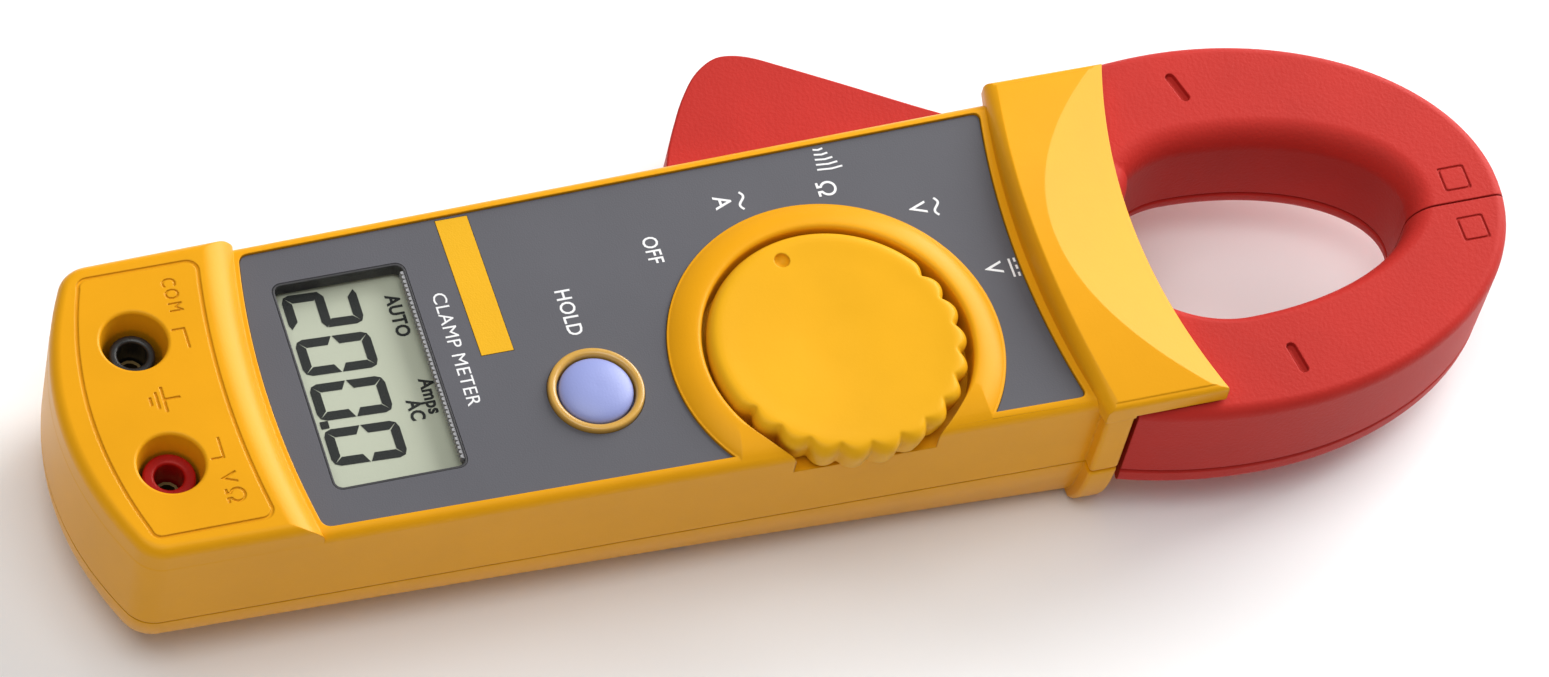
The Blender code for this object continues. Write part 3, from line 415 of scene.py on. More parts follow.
def upper_hollow():
    loops = [body_outline(z, (WALL, 0.0), WALL, 64.0, radius=3.5) for z in (SEAM_Z - 1.0, CEILING_Z)]
    return loft("upper_hollow", loops)


def socket_hollow():
    loops = []
    for z, wall, top in ((SEAM_Z - 2.0, WALL + 0.8, -56.5), (SOCKET_CEILING_Z, WALL + 1.0, -58.0)):
        loops.append(body_outline(z, (wall, 0.0), wall, top, radius=3.0))
    return loft("socket_hollow", loops)


def dial_ring():
    """The raised ring round the knob, with a round crest, and its well wall and floor."""
    outer = DIAL_RING_RADIUS
    inner = DIAL_WELL_RADIUS
    foot = PANEL_Z + 0.15
    crest = [(outer, foot)]
    for i in range(1, 13):
        share = i / 12.0
        radius = outer - (outer - inner - RING_LIP) * share
        crest.append((radius, foot + 1.65 * math.sin(share * 1.5) ** 0.8))
    crest += [(inner + RING_LIP * (1.0 - s), PANEL_Z + 1.8 - RING_LIP * d) for s, d in quarter(6)[1:]]
    low = DIAL_FLOOR_Z - WALL
    well = [(inner, low), (inner + 2.0, low), (inner + 2.0, CEILING_Z - 0.5), (outer, CEILING_Z + 0.6)]
    ring = turned("dial_ring", DIAL, well + crest, ROUND, ring=True)
    floor = bore(DIAL, inner + 0.6, low, DIAL_FLOOR_Z, ROUND)
    loops = []
    start, end, reach = RING_CLIP
    for i in range(-1, 15):
        turn = max(0, i) / 14.0 * math.pi / 2.0
        inset = CLIP + reach * (1.0 - math.cos(turn)) ** 1.1
        rise = start + (end - start) * math.sin(turn) if i >= 0 else -19.0
        loops.append(body_outline(PANEL_Z + rise, (inset, 0.0), inset))
    return combine(join(ring, floor), loft("clip", loops), "INTERSECT")


def across_cap():
    """Shares of the cap's half width, from side to side and a little beyond it."""
    return [1.05 * i / 24.0 for i in range(-24, 25)]


def bowed_edge(start, corner):
    """A line across the meter, bowed from its middle to its corners."""
    return [(COLLAR_HALF_WIDTH * share, start + (corner - start) * share * share) for share in across_cap()]


def cap():
    """The cap over the jaw roots: a crowned bar, bowed in plan, whose front is one scooped facet."""
    base = CAP_UNDER_Z - 0.6
    shares = [i / 30.0 for i in range(-30, 31)]
    crown = [(COLLAR_HALF_WIDTH * share, crown_z(share)) for share in shares]
    corner = 0.9
    shoulder = [(COLLAR_HALF_WIDTH - corner * (1.0 - s), CAP_EDGE_Z - corner * d) for s, d in quarter(5)]
    crown = [(x, z) for x, z in crown if abs(x) < COLLAR_HALF_WIDTH - corner]
    section = [(-COLLAR_HALF_WIDTH, base)] + [(-x, z) for x, z in reversed(shoulder)] + crown
    section += shoulder + [(COLLAR_HALF_WIDTH, base)]
    bar = loft("cap", [[(x, y, z) for x, z in section] for y in (60.0, 90.0)])
    far = CAP_CORNER_Y + 10.0
    front = bowed_edge(CAP_FRONT_Y, CAP_CORNER_Y) + [(REACH, far), (-REACH, far)]
    back = [back_wall(d, s) for s, d in quarter(10)]
    back = [back_wall(0.0, 1.0, FACE_CUT[0])] + back + [back_wall(1.0, 1.0, CUT_TOP)]
    return cut(bar, prism("front", front, *FACE_CUT), loft("back", back), facet(far))


def crown_z(share):
    """Height of the cap's crown at a share of its half width."""
    return CAP_TOP_Z - (CAP_TOP_Z - CAP_EDGE_Z) * share * share


def back_wall(along, rise, level=None):
    """A loop of the cutter for the cap's rolled back wall, which follows the crown's height."""
    loop = []
    for x, y in bowed_edge(CAP_BACK_Y, CAP_BACK_Y + CAP_BACK_BOW):
        share = x / COLLAR_HALF_WIDTH
        z = BORDER_Z + (crown_z(share) + 0.12 - BORDER_Z) * rise
        loop.append((x, y + (CAP_BACK_RUN + CAP_BACK_SPREAD * share * share) * along, level or z))
    z = level or BORDER_Z + 3.0 * rise
    return loop + [(REACH, 50.0, z), (-REACH, 50.0, z)]


def facet(far):
    """Cutter for the cap's sloping front, a shallow scoop whose back edge is an arch in plan."""
    loops = []
    for share in across_cap():
        start = FACET_Y + FACET_ARCH * share * share
        high = crown_z(share)
        x = COLLAR_HALF_WIDTH * share
        near = (x, start - 3.0, high + 3.0 * FACET_SLOPE)
        low = (x, far, high - (far - start) * FACET_SLOPE)
        loops.append([near, low, (x, far, 60.0), (x, start - 3.0, 60.0)])
    return loft("facet", loops)


def collar(low, high):
    """The raised band round the case under the cap."""
    steps = []
    for i in range(13):
        z = low + (high - low) * i / 12.0
        depth = max(0.0, (SEAM_Z - z) / SEAM_Z)
        inset = CLIP + COLLAR_CURVE * (1.0 - math.sqrt(1.0 - depth * depth))
        steps.append((COLLAR_HALF_WIDTH - inset, z))
    section = steps + [(-x, z) for x, z in reversed(steps)]
    loops = [[(x, y, z) for x, z in section] for y in COLLAR_Y]
    return soften(loft("collar", loops), 0.6, 3, 60.0)


def jaw_space():
    """Cutters for the room round the jaw roots and for the slot that the lever swings into."""
    near = half_width(60.0) - WALL
    roots = box("roots", (-REACH, 60.5, LIP_TOP_Z), (near, 95.0, CAP_UNDER_Z))
    front = box("front", (-REACH - 1.0, COLLAR_Y[1], LIP_TOP_Z), (REACH, 96.0, CAP_UNDER_Z))
    slot = box("slot", (-REACH, SLOT_Y, LEVER_BOTTOM_Z - 0.6), (-20.0, 62.0, LEVER_TOP_Z + 0.6))
    return join(roots, front), slot


def eased(outline, corners, radius):
    """The outline with the numbered corners eased by short curves."""
    points = []
    count = len(outline)
    for i, here in enumerate(outline):
        if i not in corners:
            points.append(here)
            continue
        corner = Vector(here)
        first = (Vector(outline[i - 1]) - corner).normalized() * radius
        second = (Vector(outline[(i + 1) % count]) - corner).normalized() * radius
        for step in range(6):
            t = step / 5.0
            points.append(tuple(corner + first * (1.0 - t) ** 2 + second * t**2))
    return points


def panel_outline(inset):
    points = []
    for step, y0 in ((1, PANEL_BOTTOM_Y + inset), (-1, PANEL_TOP_Y - inset)):
        wide = PANEL_HALF_WIDTH + PANEL_TAPER * (y0 + SMILE * 500.0) - inset
        for i in range(-12, 13):
            x = step * wide * i / 12.0
            points.append((x, y0 + SMILE * x * x))
    return eased(points, (0, 24, 25, 49), PANEL_CORNER - inset)


def socket_frame(inset):
    """Outline of the engraved line round the sockets, with round corners."""
    wide = FRAME_HALF_WIDTH - inset
    radius = FRAME_CORNER - inset
    points = []
    for step, y0, bow in ((1, FRAME_Y[0] + inset, FRAME_BOW), (-1, FRAME_Y[1] - inset, SMILE)):
        reach = wide - radius
        lift = y0 + bow * reach**2 + step * radius
        first, second = (270.0, 360.0) if step > 0 else (90.0, 180.0)
        corner_a = arc((-step * reach, lift), radius, first - 90.0, first, 6)
        corner_b = arc((step * reach, lift), radius, first, second, 6)
        across = [(step * reach * i / 14.0, y0 + bow * (reach * i / 14.0) ** 2) for i in range(-13, 14)]
        points += corner_a + across + corner_b
    return points


def groove(outline, top, depth, width):
    """A cutter for an engraved closed line. The outline is a function of its inset."""
    ring = prism("groove", outline(0.0), top - depth, top + 2.0)
    return cut(ring, prism("land", outline(width), top - depth - 1.0, top + 3.0))


def front_shell(look):
    shell = join(loft("front_case", case_loops()), socket_block())
    cut(shell, upper_hollow(), socket_hollow())
    join(shell, dial_ring())
    for x, y in CASE_SCREWS:
        ceiling = CEILING_Z if y > PANEL_BOTTOM_Y else SOCKET_CEILING_Z
        join(shell, bore((x, y), 3.2, UPPER_FOOT_Z, ceiling + 0.6, 24))
    join(shell, join(cap(), collar(UPPER_FOOT_Z, CAP_UNDER_Z + 1.0)))
    cut(shell, *jaw_space())
    recess = prism("recess", panel_outline(0.0), SEAT_Z, BORDER_Z + 0.05)
    cut(shell, cut(recess, bore(DIAL, DIAL_RING_RADIUS, SEAT_Z - 1.0, steps=ROUND)))
    cut(shell, bore(DIAL, DIAL_WELL_RADIUS, DIAL_FLOOR_Z, steps=ROUND))
    cut(shell, bore(DIAL, SHAFT_RADIUS + 0.4, 15.0, 30.0, 48))
    cut(shell, prism("window", window_outline(0.0), *FACE_CUT))
    cut(shell, bore(BUTTON, BUTTON_RADIUS + 0.35, *FACE_CUT, 48))
    for name, outer in SOCKET_INSERTS.items():
        socket_throat(shell, SOCKETS[name], outer + 0.25)
    cut(shell, groove(socket_frame, SOCKET_TOP_Z, ENGRAVING, 0.5))
    cut(shell, *[bore(screw, 1.6, 5.0, 20.6, 16) for screw in CASE_SCREWS])
    cut(shell, bore(PIVOT, PIN_HOLE, FACE_CUT[0], mm_box("jaw_pivot_pin")[1].z + 0.3))
    cut(shell, *engraved_marks())
    return piece(shell, "root", look, "case_yellow", "front_shell", name="front_case", crease=12.0)


def socket_throat(shell, centre, hole):
    """The round wall under a socket's mouth, flared at the top, and its floor round the insert."""
    join(shell, bore(centre, SOCKET_MOUTH + 0.9, SOCKET_FLOOR_Z - 2.0, SOCKET_TOP_Z - 1.0, 64))
    mouth = [(hole, 10.0), (hole, SOCKET_FLOOR_Z), (SOCKET_THROAT, SOCKET_FLOOR_Z)]
    flare = SOCKET_MOUTH - SOCKET_THROAT
    for i in range(9):
        share = i / 8.0
        mouth.append((SOCKET_THROAT + flare * share**1.6, SOCKET_TOP_Z - 4.4 + 3.81 * share))
    for s, d in quarter(6):
        mouth.append((SOCKET_MOUTH + MOUTH_LIP * d, SOCKET_TOP_Z + 0.01 - MOUTH_LIP * (1.0 - s)))
    mouth.append((SOCKET_MOUTH + MOUTH_LIP + 0.02, CUT_TOP))
    cut(shell, turned("mouth", centre, mouth, 96))


def back_inset(z):
    """Side and end insets of the curved underside at a height."""
    drop = (SEAM_Z - z) / SEAM_Z
    share = 1.0 - math.sqrt(max(0.0, 1.0 - drop * drop))
    return (BACK_CURVE[0] * share, BACK_CURVE[1] * share), BACK_END_CURVE * share


def back_hull():
    loops = []
    for z in [SEAM_Z * math.sin(math.radians(5.0 * i)) for i in range(17)] + [LOWER_RIM_Z]:
        side, end = back_inset(z)
        loops.append(body_outline(z, side, end))
    return loft("back_hull", loops)


def back_hollow():
    loops = []
    for i in range(5):
        z = BACK_FLOOR_Z + (SEAM_Z - BACK_FLOOR_Z) * i / 4.0
        side, end = back_inset(z)
        z += i == 4
        loops.append(body_outline(z, (side[0] + WALL, side[1]), end + WALL, 64.0, radius=3.5))
    return loft("back_hollow", loops)


def door_outline(inset):
    half = (DOOR_HALF_WIDTH - inset, (DOOR_Y[1] - DOOR_Y[0]) / 2.0 - inset)
    return moved(rounded_box(half, 3.0 - inset), 0.0, (DOOR_Y[0] + DOOR_Y[1]) / 2.0)


def back_shell(look):
    shell = cut(back_hull(), back_hollow())
    join(shell, *[bore(screw, 3.6, BACK_FLOOR_Z - 1.0, LOWER_RIM_Z, 24) for screw in CASE_SCREWS])
    roots, slot = jaw_space()
    cut(shell, slot)
    lip = prism("lip", moved(rounded_box((21.0, 9.0), 5.0), 0.0, 73.0), 1.4, LIP_TOP_Z + 1.5)
    join(shell, collar(0.6, LOWER_RIM_Z), soften(lip, 1.2, 4, 60.0))
    cut(shell, roots)
    cut(shell, prism("doorway", door_outline(0.0), *DOORWAY_Z))
    hole = ((3.3, -5.0), (3.3, 0.05), (2.9, 0.5), (2.9, 2.9), (1.5, 2.9), (1.5, 20.0))
    cut(shell, *[turned("screw_hole", screw, hole, 32) for screw in CASE_SCREWS])
    cut(shell, bore(PIVOT, PIN_HOLE, 2.9, 20.0))
    return piece(shell, "root", look, "case_yellow", "back_shell", name="back_case")


def battery_door(look):
    door = combine(back_hull(), prism("doorway", door_outline(0.3), *DOORWAY_Z), "INTERSECT")
    cut(door, back_hollow())
    hole = ((2.6, -5.0), (2.6, 0.9), (1.4, 0.9), (1.4, 9.0))
    cut(door, turned("screw_hole", middle("door_screw"), hole, 32))
    for y in [GRIP_PITCH * i for i in range(7)]:
        cut(door, soften(box("grip", (-6.0, -28.0 + y, -1.0), (6.0, -27.1 + y, 0.45)), 0.3, 2))
    return piece(door, "root", look, "case_yellow", "battery_door", name="cell_door")


# ---------- face ----------


def window_outline(inset, eased_by=0.0):
    half = (LCD_HALF[0] - inset, LCD_HALF[1] - inset)
    return moved(rounded_box(half, LCD_CORNER - eased_by), 0.0, LCD_Y)


def face_panel(look):
    panel = prism("face_plate", panel_outline(0.12), SEAT_Z + 0.3, PANEL_Z)
    cut(panel, bore(DIAL, DIAL_RING_RADIUS + 0.08, *FACE_CUT, ROUND))
    cut(panel, prism("window", window_outline(0.0), *FACE_CUT))
    cut(panel, bore(BUTTON, BUTTON_RING_RADIUS + 0.1, *FACE_CUT, 64))
    cut(panel, prism("badge_seat", badge_outline(-0.08), PANEL_Z - 0.35, CUT_TOP))
    return piece(panel, "root", look, "panel_grey", "face_panel")


def badge_outline(inset):
    low = BADGE_Y[0] + inset
    high = BADGE_Y[1] - inset
    left = -PANEL_HALF_WIDTH - PANEL_TAPER * BADGE_Y[0] + 0.5 + inset
    right = 0.2 - inset
    return [(left, low - 0.3), (right, low), (right, high), (left, high - 0.3)]


def painted_shade_bezel(look):
    """The dark sleeve that lines the display recess. Its near-black colour is painted shade, standing in for the
    shade on the recess walls.
    """
    sleeve = prism("painted_shade_bezel", window_outline(0.05, 0.05), LCD_TOP_Z + 0.8, PANEL_Z - 0.05)
    cut(sleeve, prism("hole", window_outline(0.4, 0.3), *FACE_CUT))
    return piece(sleeve, "root", look, "inner_plastic")


def window_comb(look):
    """The row of small ribs along the top edge of the display recess."""
    wall = LCD_Y + LCD_HALF[1] - 0.3
    half = LCD_HALF[0] - LCD_CORNER
    outline = [(-half, wall)]
    for i in range(round(2.0 * half / COMB_PITCH)):
        x = -half + COMB_PITCH * i
        outline += [(x + 0.1, wall - 0.6), (x + 0.1 + 0.45 * COMB_PITCH, wall - 0.6)]
        outline.append((x + COMB_PITCH - 0.05, wall - 0.15))
    outline.append((half, wall))
    comb = prism("window_comb", outline[::-1], PANEL_Z - 1.3, PANEL_Z - 0.12)
    return piece(comb, "root", look, "panel_grey")


def button_parts(look, ring_look):
    inner = BUTTON_RADIUS + 0.3
    profile = [(inner, SEAT_Z + 0.3), (BUTTON_RING_RADIUS, SEAT_Z + 0.3)]
    profile += [(BUTTON_RING_RADIUS - 0.35 * d, PANEL_Z + 0.3 + 0.55 * s) for s, d in quarter(5)]
    profile += [(inner + 0.6 * (1.0 - s), PANEL_Z + 0.85 - 0.75 * d) for s, d in quarter(6)]
    ring = turned("button_bezel", BUTTON, profile, 96, ring=True)
    piece(ring, "root", ring_look, "ring_gold", "hold_button_ring")
    low = mm_box("hold_button")[0].z
    profile = [(2.0, low), (2.0, CEILING_Z - 1.5), (6.6, CEILING_Z - 1.5), (6.6, CEILING_Z - 0.4)]
    profile += [(BUTTON_RADIUS, CEILING_Z - 0.4), (BUTTON_RADIUS, PANEL_Z + 0.1)]
    for i in range(1, 20):
        angle = math.radians(90.0 * i / 20.0)
        profile.append((BUTTON_RADIUS * math.cos(angle) ** 0.85, PANEL_Z + 0.1 + 1.55 * math.sin(angle)))
    piece(turned("button_dome", BUTTON, profile, 96), "hold_button", look, "button_lavender", "hold_button")


def flute(degrees):
    """Depth of the thumb flutes at an angle round the knob: 0 on a land, and near 1 in a groove's middle."""
    degrees = (degrees + 180.0) % 360.0 - 180.0
    if not FLUTES[0] - 6.0 <= degrees <= FLUTES[1] + 6.0:
        return 0.0
    phase = (degrees - FLUTES[0]) / FLUTE_PITCH
    offset = abs(phase - round(phase)) * 2.0
    return (1.0 - max(0.06, offset)) ** 2


def knob_rows():
    """Rows of the knob from its foot to its dished top: radius, height and share of the flutes' depth."""
    base = DIAL_FLOOR_Z + 0.3
    rows = [(DIAL_RADIUS - 1.3, base, 1.0), (DIAL_RADIUS - 0.9, base + 0.5, 1.0)]
    for d in (1.0, 0.5, 0.0):
        rows.append((DIAL_RADIUS - 0.4 * d, DIAL_TOP_Z - KNOB_FILLET - 2.0 * d, 1.0))
    for s, d in quarter(8)[1:]:
        rows.append((DIAL_RADIUS - 1.6 * d, DIAL_TOP_Z - KNOB_FILLET * (1.0 - s), 1.0 - 0.6 * d**2))
    rows += [(DIAL_RADIUS - 2.3, DIAL_TOP_Z + 0.02, 0.15), (DIAL_RADIUS - 3.2, DIAL_TOP_Z - 0.1, 0.0)]
    for share in (0.7, 0.5, 0.3, 0.1):
        rows.append((DIAL_RADIUS * share, DIAL_TOP_Z - 0.12 - 0.8 * (0.85 - share), 0.0))
    return rows


def dial_knob(look):
    rows = knob_rows()
    loops = []
    for radius, z, depth in rows:
        loop = []
        for i in range(KNOB_SIDES):
            degrees = 360.0 * i / KNOB_SIDES
            reach = radius - FLUTE_DEPTH * depth * flute(degrees)
            angle = math.radians(degrees)
            loop.append((DIAL[0] + reach * math.cos(angle), DIAL[1] + reach * math.sin(angle), z))
        loops.append(loop)
    knob = loft("dial_knob", loops)
    join(knob, bore(DIAL, SHAFT_RADIUS, mm_box("switch_knob")[0].z, rows[0][1] + 2.0, 48))
    dot = arc(DIAL, POINTER[1], POINTER[0], POINTER[0], 1)[0]
    surface = DIAL_TOP_Z - 0.3
    profile = [(0.15, surface - 0.9)]
    profile += [(1.15 * s, surface - 0.9 + 0.9 * d) for s, d in quarter(8)[1:]]
    cut(knob, turned("dimple", dot, profile + [(1.2, surface + 2.0)], 40))
    return piece(knob, "dial", look, "case_yellow", "switch_knob", crease=40.0)


def sockets(looks):
    for name, outer in SOCKET_INSERTS.items():
        low, high = mm_box(f"{name}_socket")
        inner = 2.1
        tube = [(inner, low.z), (outer, low.z)]
        tube += [(outer - 0.4 * d, high.z - 0.4 * (1.0 - s)) for s, d in quarter(5)]
        tube += [(inner + 0.45 * (1.0 - s), high.z - 0.45 * d) for s, d in quarter(5)]
        slot = "socket_black" if name == "com" else "socket_red"
        made = turned(f"{name}_insert", SOCKETS[name], tube, 64, ring=True)
        piece(made, "root", looks[slot], slot, f"{name}_socket")


# ---------- jaws ----------


def ellipse_point(shape, degrees):
    """Point on a jaw outline: (centre y, half width, reach forwards, reach backwards)."""
    centre, half, up, down = shape
    angle = math.radians(degrees)
    along = math.cos(angle)
    return (half * math.sin(angle), centre + along * (up if along > 0 else down))


def jaw_station(side, share):
    """Outer point, unit vector inwards and radial thickness of a jaw: the fixed one's side is 1."""
    split = JAW_SPLIT_X + side * SPLIT_GAP / 2.0
    roots = FIXED_ROOT if side > 0 else MOVING_ROOT
    ends = [math.degrees(math.asin(split / shape[1])) for shape in (JAW_OUTER, JAW_INNER)]
    outer = ellipse_point(JAW_OUTER, roots[0] + (ends[0] - roots[0]) * share)
    inner = ellipse_point(JAW_INNER, roots[1] + (ends[1] - roots[1]) * share)
    width = math.dist(outer, inner)
    inward = ((inner[0] - outer[0]) / width, (inner[1] - outer[1]) / width)
    return outer, inward, width


def sweep(name, side, section):
    loops = []
    for share in SHARES:
        (x, y), (dx, dy), width = jaw_station(side, share)
        loops.append([(x + dx * reach, y + dy * reach, z) for reach, z in section(width, share)])
    return loft(name, loops)


def cavity_margin(width, share):
    return JAW_WALL if share < NECK else (width - CORE_WIDTH) / 2.0 - 0.3


def shell_section(width, share):
    """The upper moulding's cross-section, as reach inwards from the outer edge and height."""
    top = JAW_TOP_Z
    seam = UPPER_SEAM
    wide = share < NECK
    margin = cavity_margin(width, share)
    roof = CORE_Z[1] + (1.9 if wide else 0.3)
    chamfer = 1.5 if wide else 0.05
    points = [(0.35, seam), (0.0, seam + 0.35)]
    points += [(1.9 * d, top - 1.9 * (1.0 - s)) for s, d in quarter(6)]
    points += [(width - 4.0 + 4.0 * s, top - 4.0 * d) for s, d in quarter(10)]
    points += [(width, seam + 0.3), (width - 0.3, seam), (width - margin, seam)]
    points += [(width - margin, roof - chamfer), (width - margin - chamfer, roof)]
    return points + [(margin, roof), (margin, seam)]


def cover_section(width, share):
    low = JAW_BOTTOM_Z
    seam = LOWER_SEAM
    margin = cavity_margin(width, share)
    floor = CORE_Z[0] - 1.8 if share < NECK else seam - 0.05
    points = [(width - margin, seam), (width - 0.3, seam), (width, seam - 0.3)]
    points += [(width - 3.0 * d, low + 3.0 * (1.0 - s)) for s, d in quarter(7)]
    points += [(1.9 - 1.9 * s, low + 1.9 * d) for s, d in quarter(6)]
    points += [(0.0, seam - 0.35), (0.35, seam), (margin, seam), (margin, floor), (width - margin, floor)]
    return points


def smooth_line(points, steps=6):
    """A Catmull-Rom line through the points."""
    line = []
    for i in range(1, len(points) - 2):
        a, b, c, d = [Vector(point) for point in points[i - 1 : i + 3]]
        for j in range(steps):
            t = j / steps
            at = 2.0 * b + (c - a) * t + (2.0 * a - 5.0 * b + 4.0 * c - d) * t**2
            at += (3.0 * b - 3.0 * c + d - a) * t**3
            line.append((at.x / 2.0, at.y / 2.0))
    return line + [tuple(points[-2])]


def lever_outline():
    """Plan of the thumb lever, from the pivot boss round its tip and back."""
    back = [(-22.0, 76.5), (-26.4, 69.0), (-31.8, 59.6), (-38.6, 48.7), (-43.6, 40.5)]
    tip = [(-45.9, 36.5), (-46.9, 33.2), (-46.6, 30.4), (-44.4, 27.1)]
    front = [(-40.8, 24.2), (-37.2, 22.0), (-32.7, 19.6), (-28.5, 18.0), (-26.0, 17.6), (-24.6, 20.0)]
    inside = [(-24.6, 20.0), (-14.6, 50.0), (-14.0, 60.0), (-10.5, 66.5), (-16.0, 74.0)]
    return smooth_line(back + tip + front)[:-1] + inside


def jaw_mark(centre, degrees):
    """A cutter for the engraved mark on a jaw's top face, turned about Z."""
    cosine = math.cos(math.radians(degrees))
    sine = math.sin(math.radians(degrees))
    outline = []
    for x, y in rounded_box(MARK_HALF, 0.74):
        outline.append((centre[0] + x * cosine - y * sine, centre[1] + x * sine + y * cosine))
    return prism("mark", outline, JAW_TOP_Z - 0.8, CUT_TOP)


def tip_square(x, y):
    """A plain engraved square on the jaw's top face."""

    def outline(inset):
        half = TIP_SQUARE_HALF - inset
        return moved(rounded_box((half, half), 0.3, 3), x, y)

    return groove(outline, JAW_TOP_Z, 0.25, 0.32)


def level_cut(low, high):
    return box("level", (-REACH, 0.0, low), (REACH, 160.0, high))


def moving_jaw(look):
    shell = sweep("jaw_lever_upper", -1, shell_section)
    lever = soften(prism("lever", lever_outline(), UPPER_SEAM - 3.0, LEVER_TOP_Z), 1.5, 5, 50.0)
    rise = [(BOSS_RADIUS - 4.0 * d, JAW_TOP_Z - 0.05 - 4.0 * (1.0 - s)) for s, d in quarter(10)]
    join(shell, turned("boss", PIVOT, [(BOSS_RADIUS, UPPER_SEAM - 1.0)] + rise, 96), lever)
    cut(shell, level_cut(-10.0, UPPER_SEAM + 0.02))
    pocket = [(-39.5, 38.5), (-40.5, 33.5), (-32.5, 25.0), (-27.0, 22.5)]
    pocket += [(-19.5, 46.0), (-20.0, 60.0), (-29.0, 57.5)]
    cut(shell, prism("pocket", pocket, 5.0, LEVER_TOP_Z - 2.2))
    join(shell, bore(LEVER_SCREW, 2.6, UPPER_SEAM + 0.02, LEVER_TOP_Z - 1.0, 24))
    cut(shell, bore(LEVER_SCREW, 1.3, 5.0, 19.0, 16), bore(PIVOT, PIN_HOLE))
    cut(shell, jaw_mark((-24.6, 96.4), 16.0), tip_square(-0.6, 132.4))
    piece(shell, "moving_jaw", look, "jaw_red", "moving_jaw_shell")
    cover = sweep("jaw_lever_lower", -1, cover_section)
    plate = soften(prism("plate", lever_outline(), LEVER_BOTTOM_Z, LOWER_SEAM + 3.0), 0.8, 3, 50.0)
    join(cover, bore(PIVOT, BOSS_RADIUS, JAW_BOTTOM_Z, LOWER_SEAM + 1.0, 96), plate)
    cut(cover, level_cut(LOWER_SEAM - 0.02, 60.0), bore(PIVOT, 7.2, steps=64))
    hole = ((2.3, 5.0), (2.3, 10.2), (1.3, 10.2), (1.3, 20.0))
    cut(cover, turned("screw_hole", LEVER_SCREW, hole, 32))
    piece(cover, "moving_jaw", look, "jaw_red", "moving_jaw_cover")


def swing_room():
    return bore(PIVOT, BOSS_RADIUS + 0.6, -1.0, 60.0, 96)


def fixed_root(low, high):
    near = half_width(60.0) - WALL - 0.5
    outline = [(-1.5, 62.0), (near, 62.0), (near, 71.7), (22.0, 77.5), (4.0, 79.2), (-4.0, 78.2)]
    return cut(prism("root", outline, low, high), swing_room())


def fixed_jaw(look):
    shell = sweep("jaw_fixed_upper", 1, shell_section)
    join(shell, fixed_root(UPPER_SEAM - 1.0, JAW_TOP_Z - 0.1))
    cut(shell, level_cut(-10.0, UPPER_SEAM + 0.02))
    cut(shell, box("pocket", (1.5, 64.5, 5.0), (21.5, 73.5, JAW_TOP_Z - 3.0)))
    join(shell, bore(ROOT_SCREW, 2.6, UPPER_SEAM + 0.02, JAW_TOP_Z - 2.0, 24))
    cut(shell, swing_room(), bore(ROOT_SCREW, 1.3, 5.0, 19.0, 16))
    cut(shell, jaw_mark((24.4, 98.2), 9.0), tip_square(8.3, 132.2))
    piece(shell, "root", look, "jaw_red", "fixed_jaw_shell")
    cover = sweep("jaw_fixed_lower", 1, cover_section)
    join(cover, fixed_root(JAW_BOTTOM_Z, LOWER_SEAM + 1.0))
    cut(cover, level_cut(LOWER_SEAM - 0.02, 60.0), swing_room())
    cut(cover, turned("screw_hole", ROOT_SCREW, ((2.3, 5.0), (2.3, 9.0), (1.3, 9.0), (1.3, 20.0)), 32))
    piece(cover, "root", look, "jaw_red", "fixed_jaw_cover")


# ---------- legends ----------


def ribbon(name, line, width, low, high):
    """A flat stroke of even width along an open line."""
    steps = [(Vector(b) - Vector(a)).normalized() for a, b in zip(line, line[1:])]
    left = []
    right = []
    for (x, y), first, second in zip(line, steps[:1] + steps, steps + steps[-1:]):
        along = (first + second).normalized()
        normal = Vector((-along.y, along.x)) * (width / 2.0 / max(0.4, along.dot(first)))
        left.append((x + normal.x, y + normal.y))
        right.append((x - normal.x, y - normal.y))
    return prism(name, left + right[::-1], low, high)


def letters(name, text, place, height, low, high, squeeze=0.9, weight=0.03):
    """A word as a closed mesh whose left end of the baseline is at the place."""
    curve = bpy.data.curves.new(name, "FONT")
    curve.body = text
    curve.size = height * MM / 0.72
    curve.space_character = 1.05
    curve.resolution_u = 3
    curve.offset = weight * MM
    curve.extrude = (high - low) / 2.0 * MM
    item = placed(name, curve)
    item.scale = (squeeze, 1.0, 1.0)
    item.location = (place[0] * MM, place[1] * MM, (low + high) / 2.0 * MM)
    activate(item)
    bpy.ops.object.convert(target="MESH")
    bpy.ops.object.transform_apply(location=True, rotation=True, scale=True)
    return face_outwards(item, merge=True)


def omega(centre, height):
    """The ohm sign's single stroke."""
    radius = height * 0.42
    x, y = centre
    bowl = arc((x, y + height * 0.58), radius, -66.0, 246.0, 20)
    foot = height * 0.46
    return [(x + foot, y), (bowl[0][0], y)] + bowl + [(bowl[-1][0], y), (x - foot, y)]


def wave(centre, length=3.0, rise=0.45):
    """The AC sign's single stroke."""
    points = []
    for i in range(17):
        share = i / 16.0
        x = centre[0] - length / 2.0 + length * share
        points.append((x, centre[1] + rise * math.sin(2.0 * math.pi * share)))
    return points


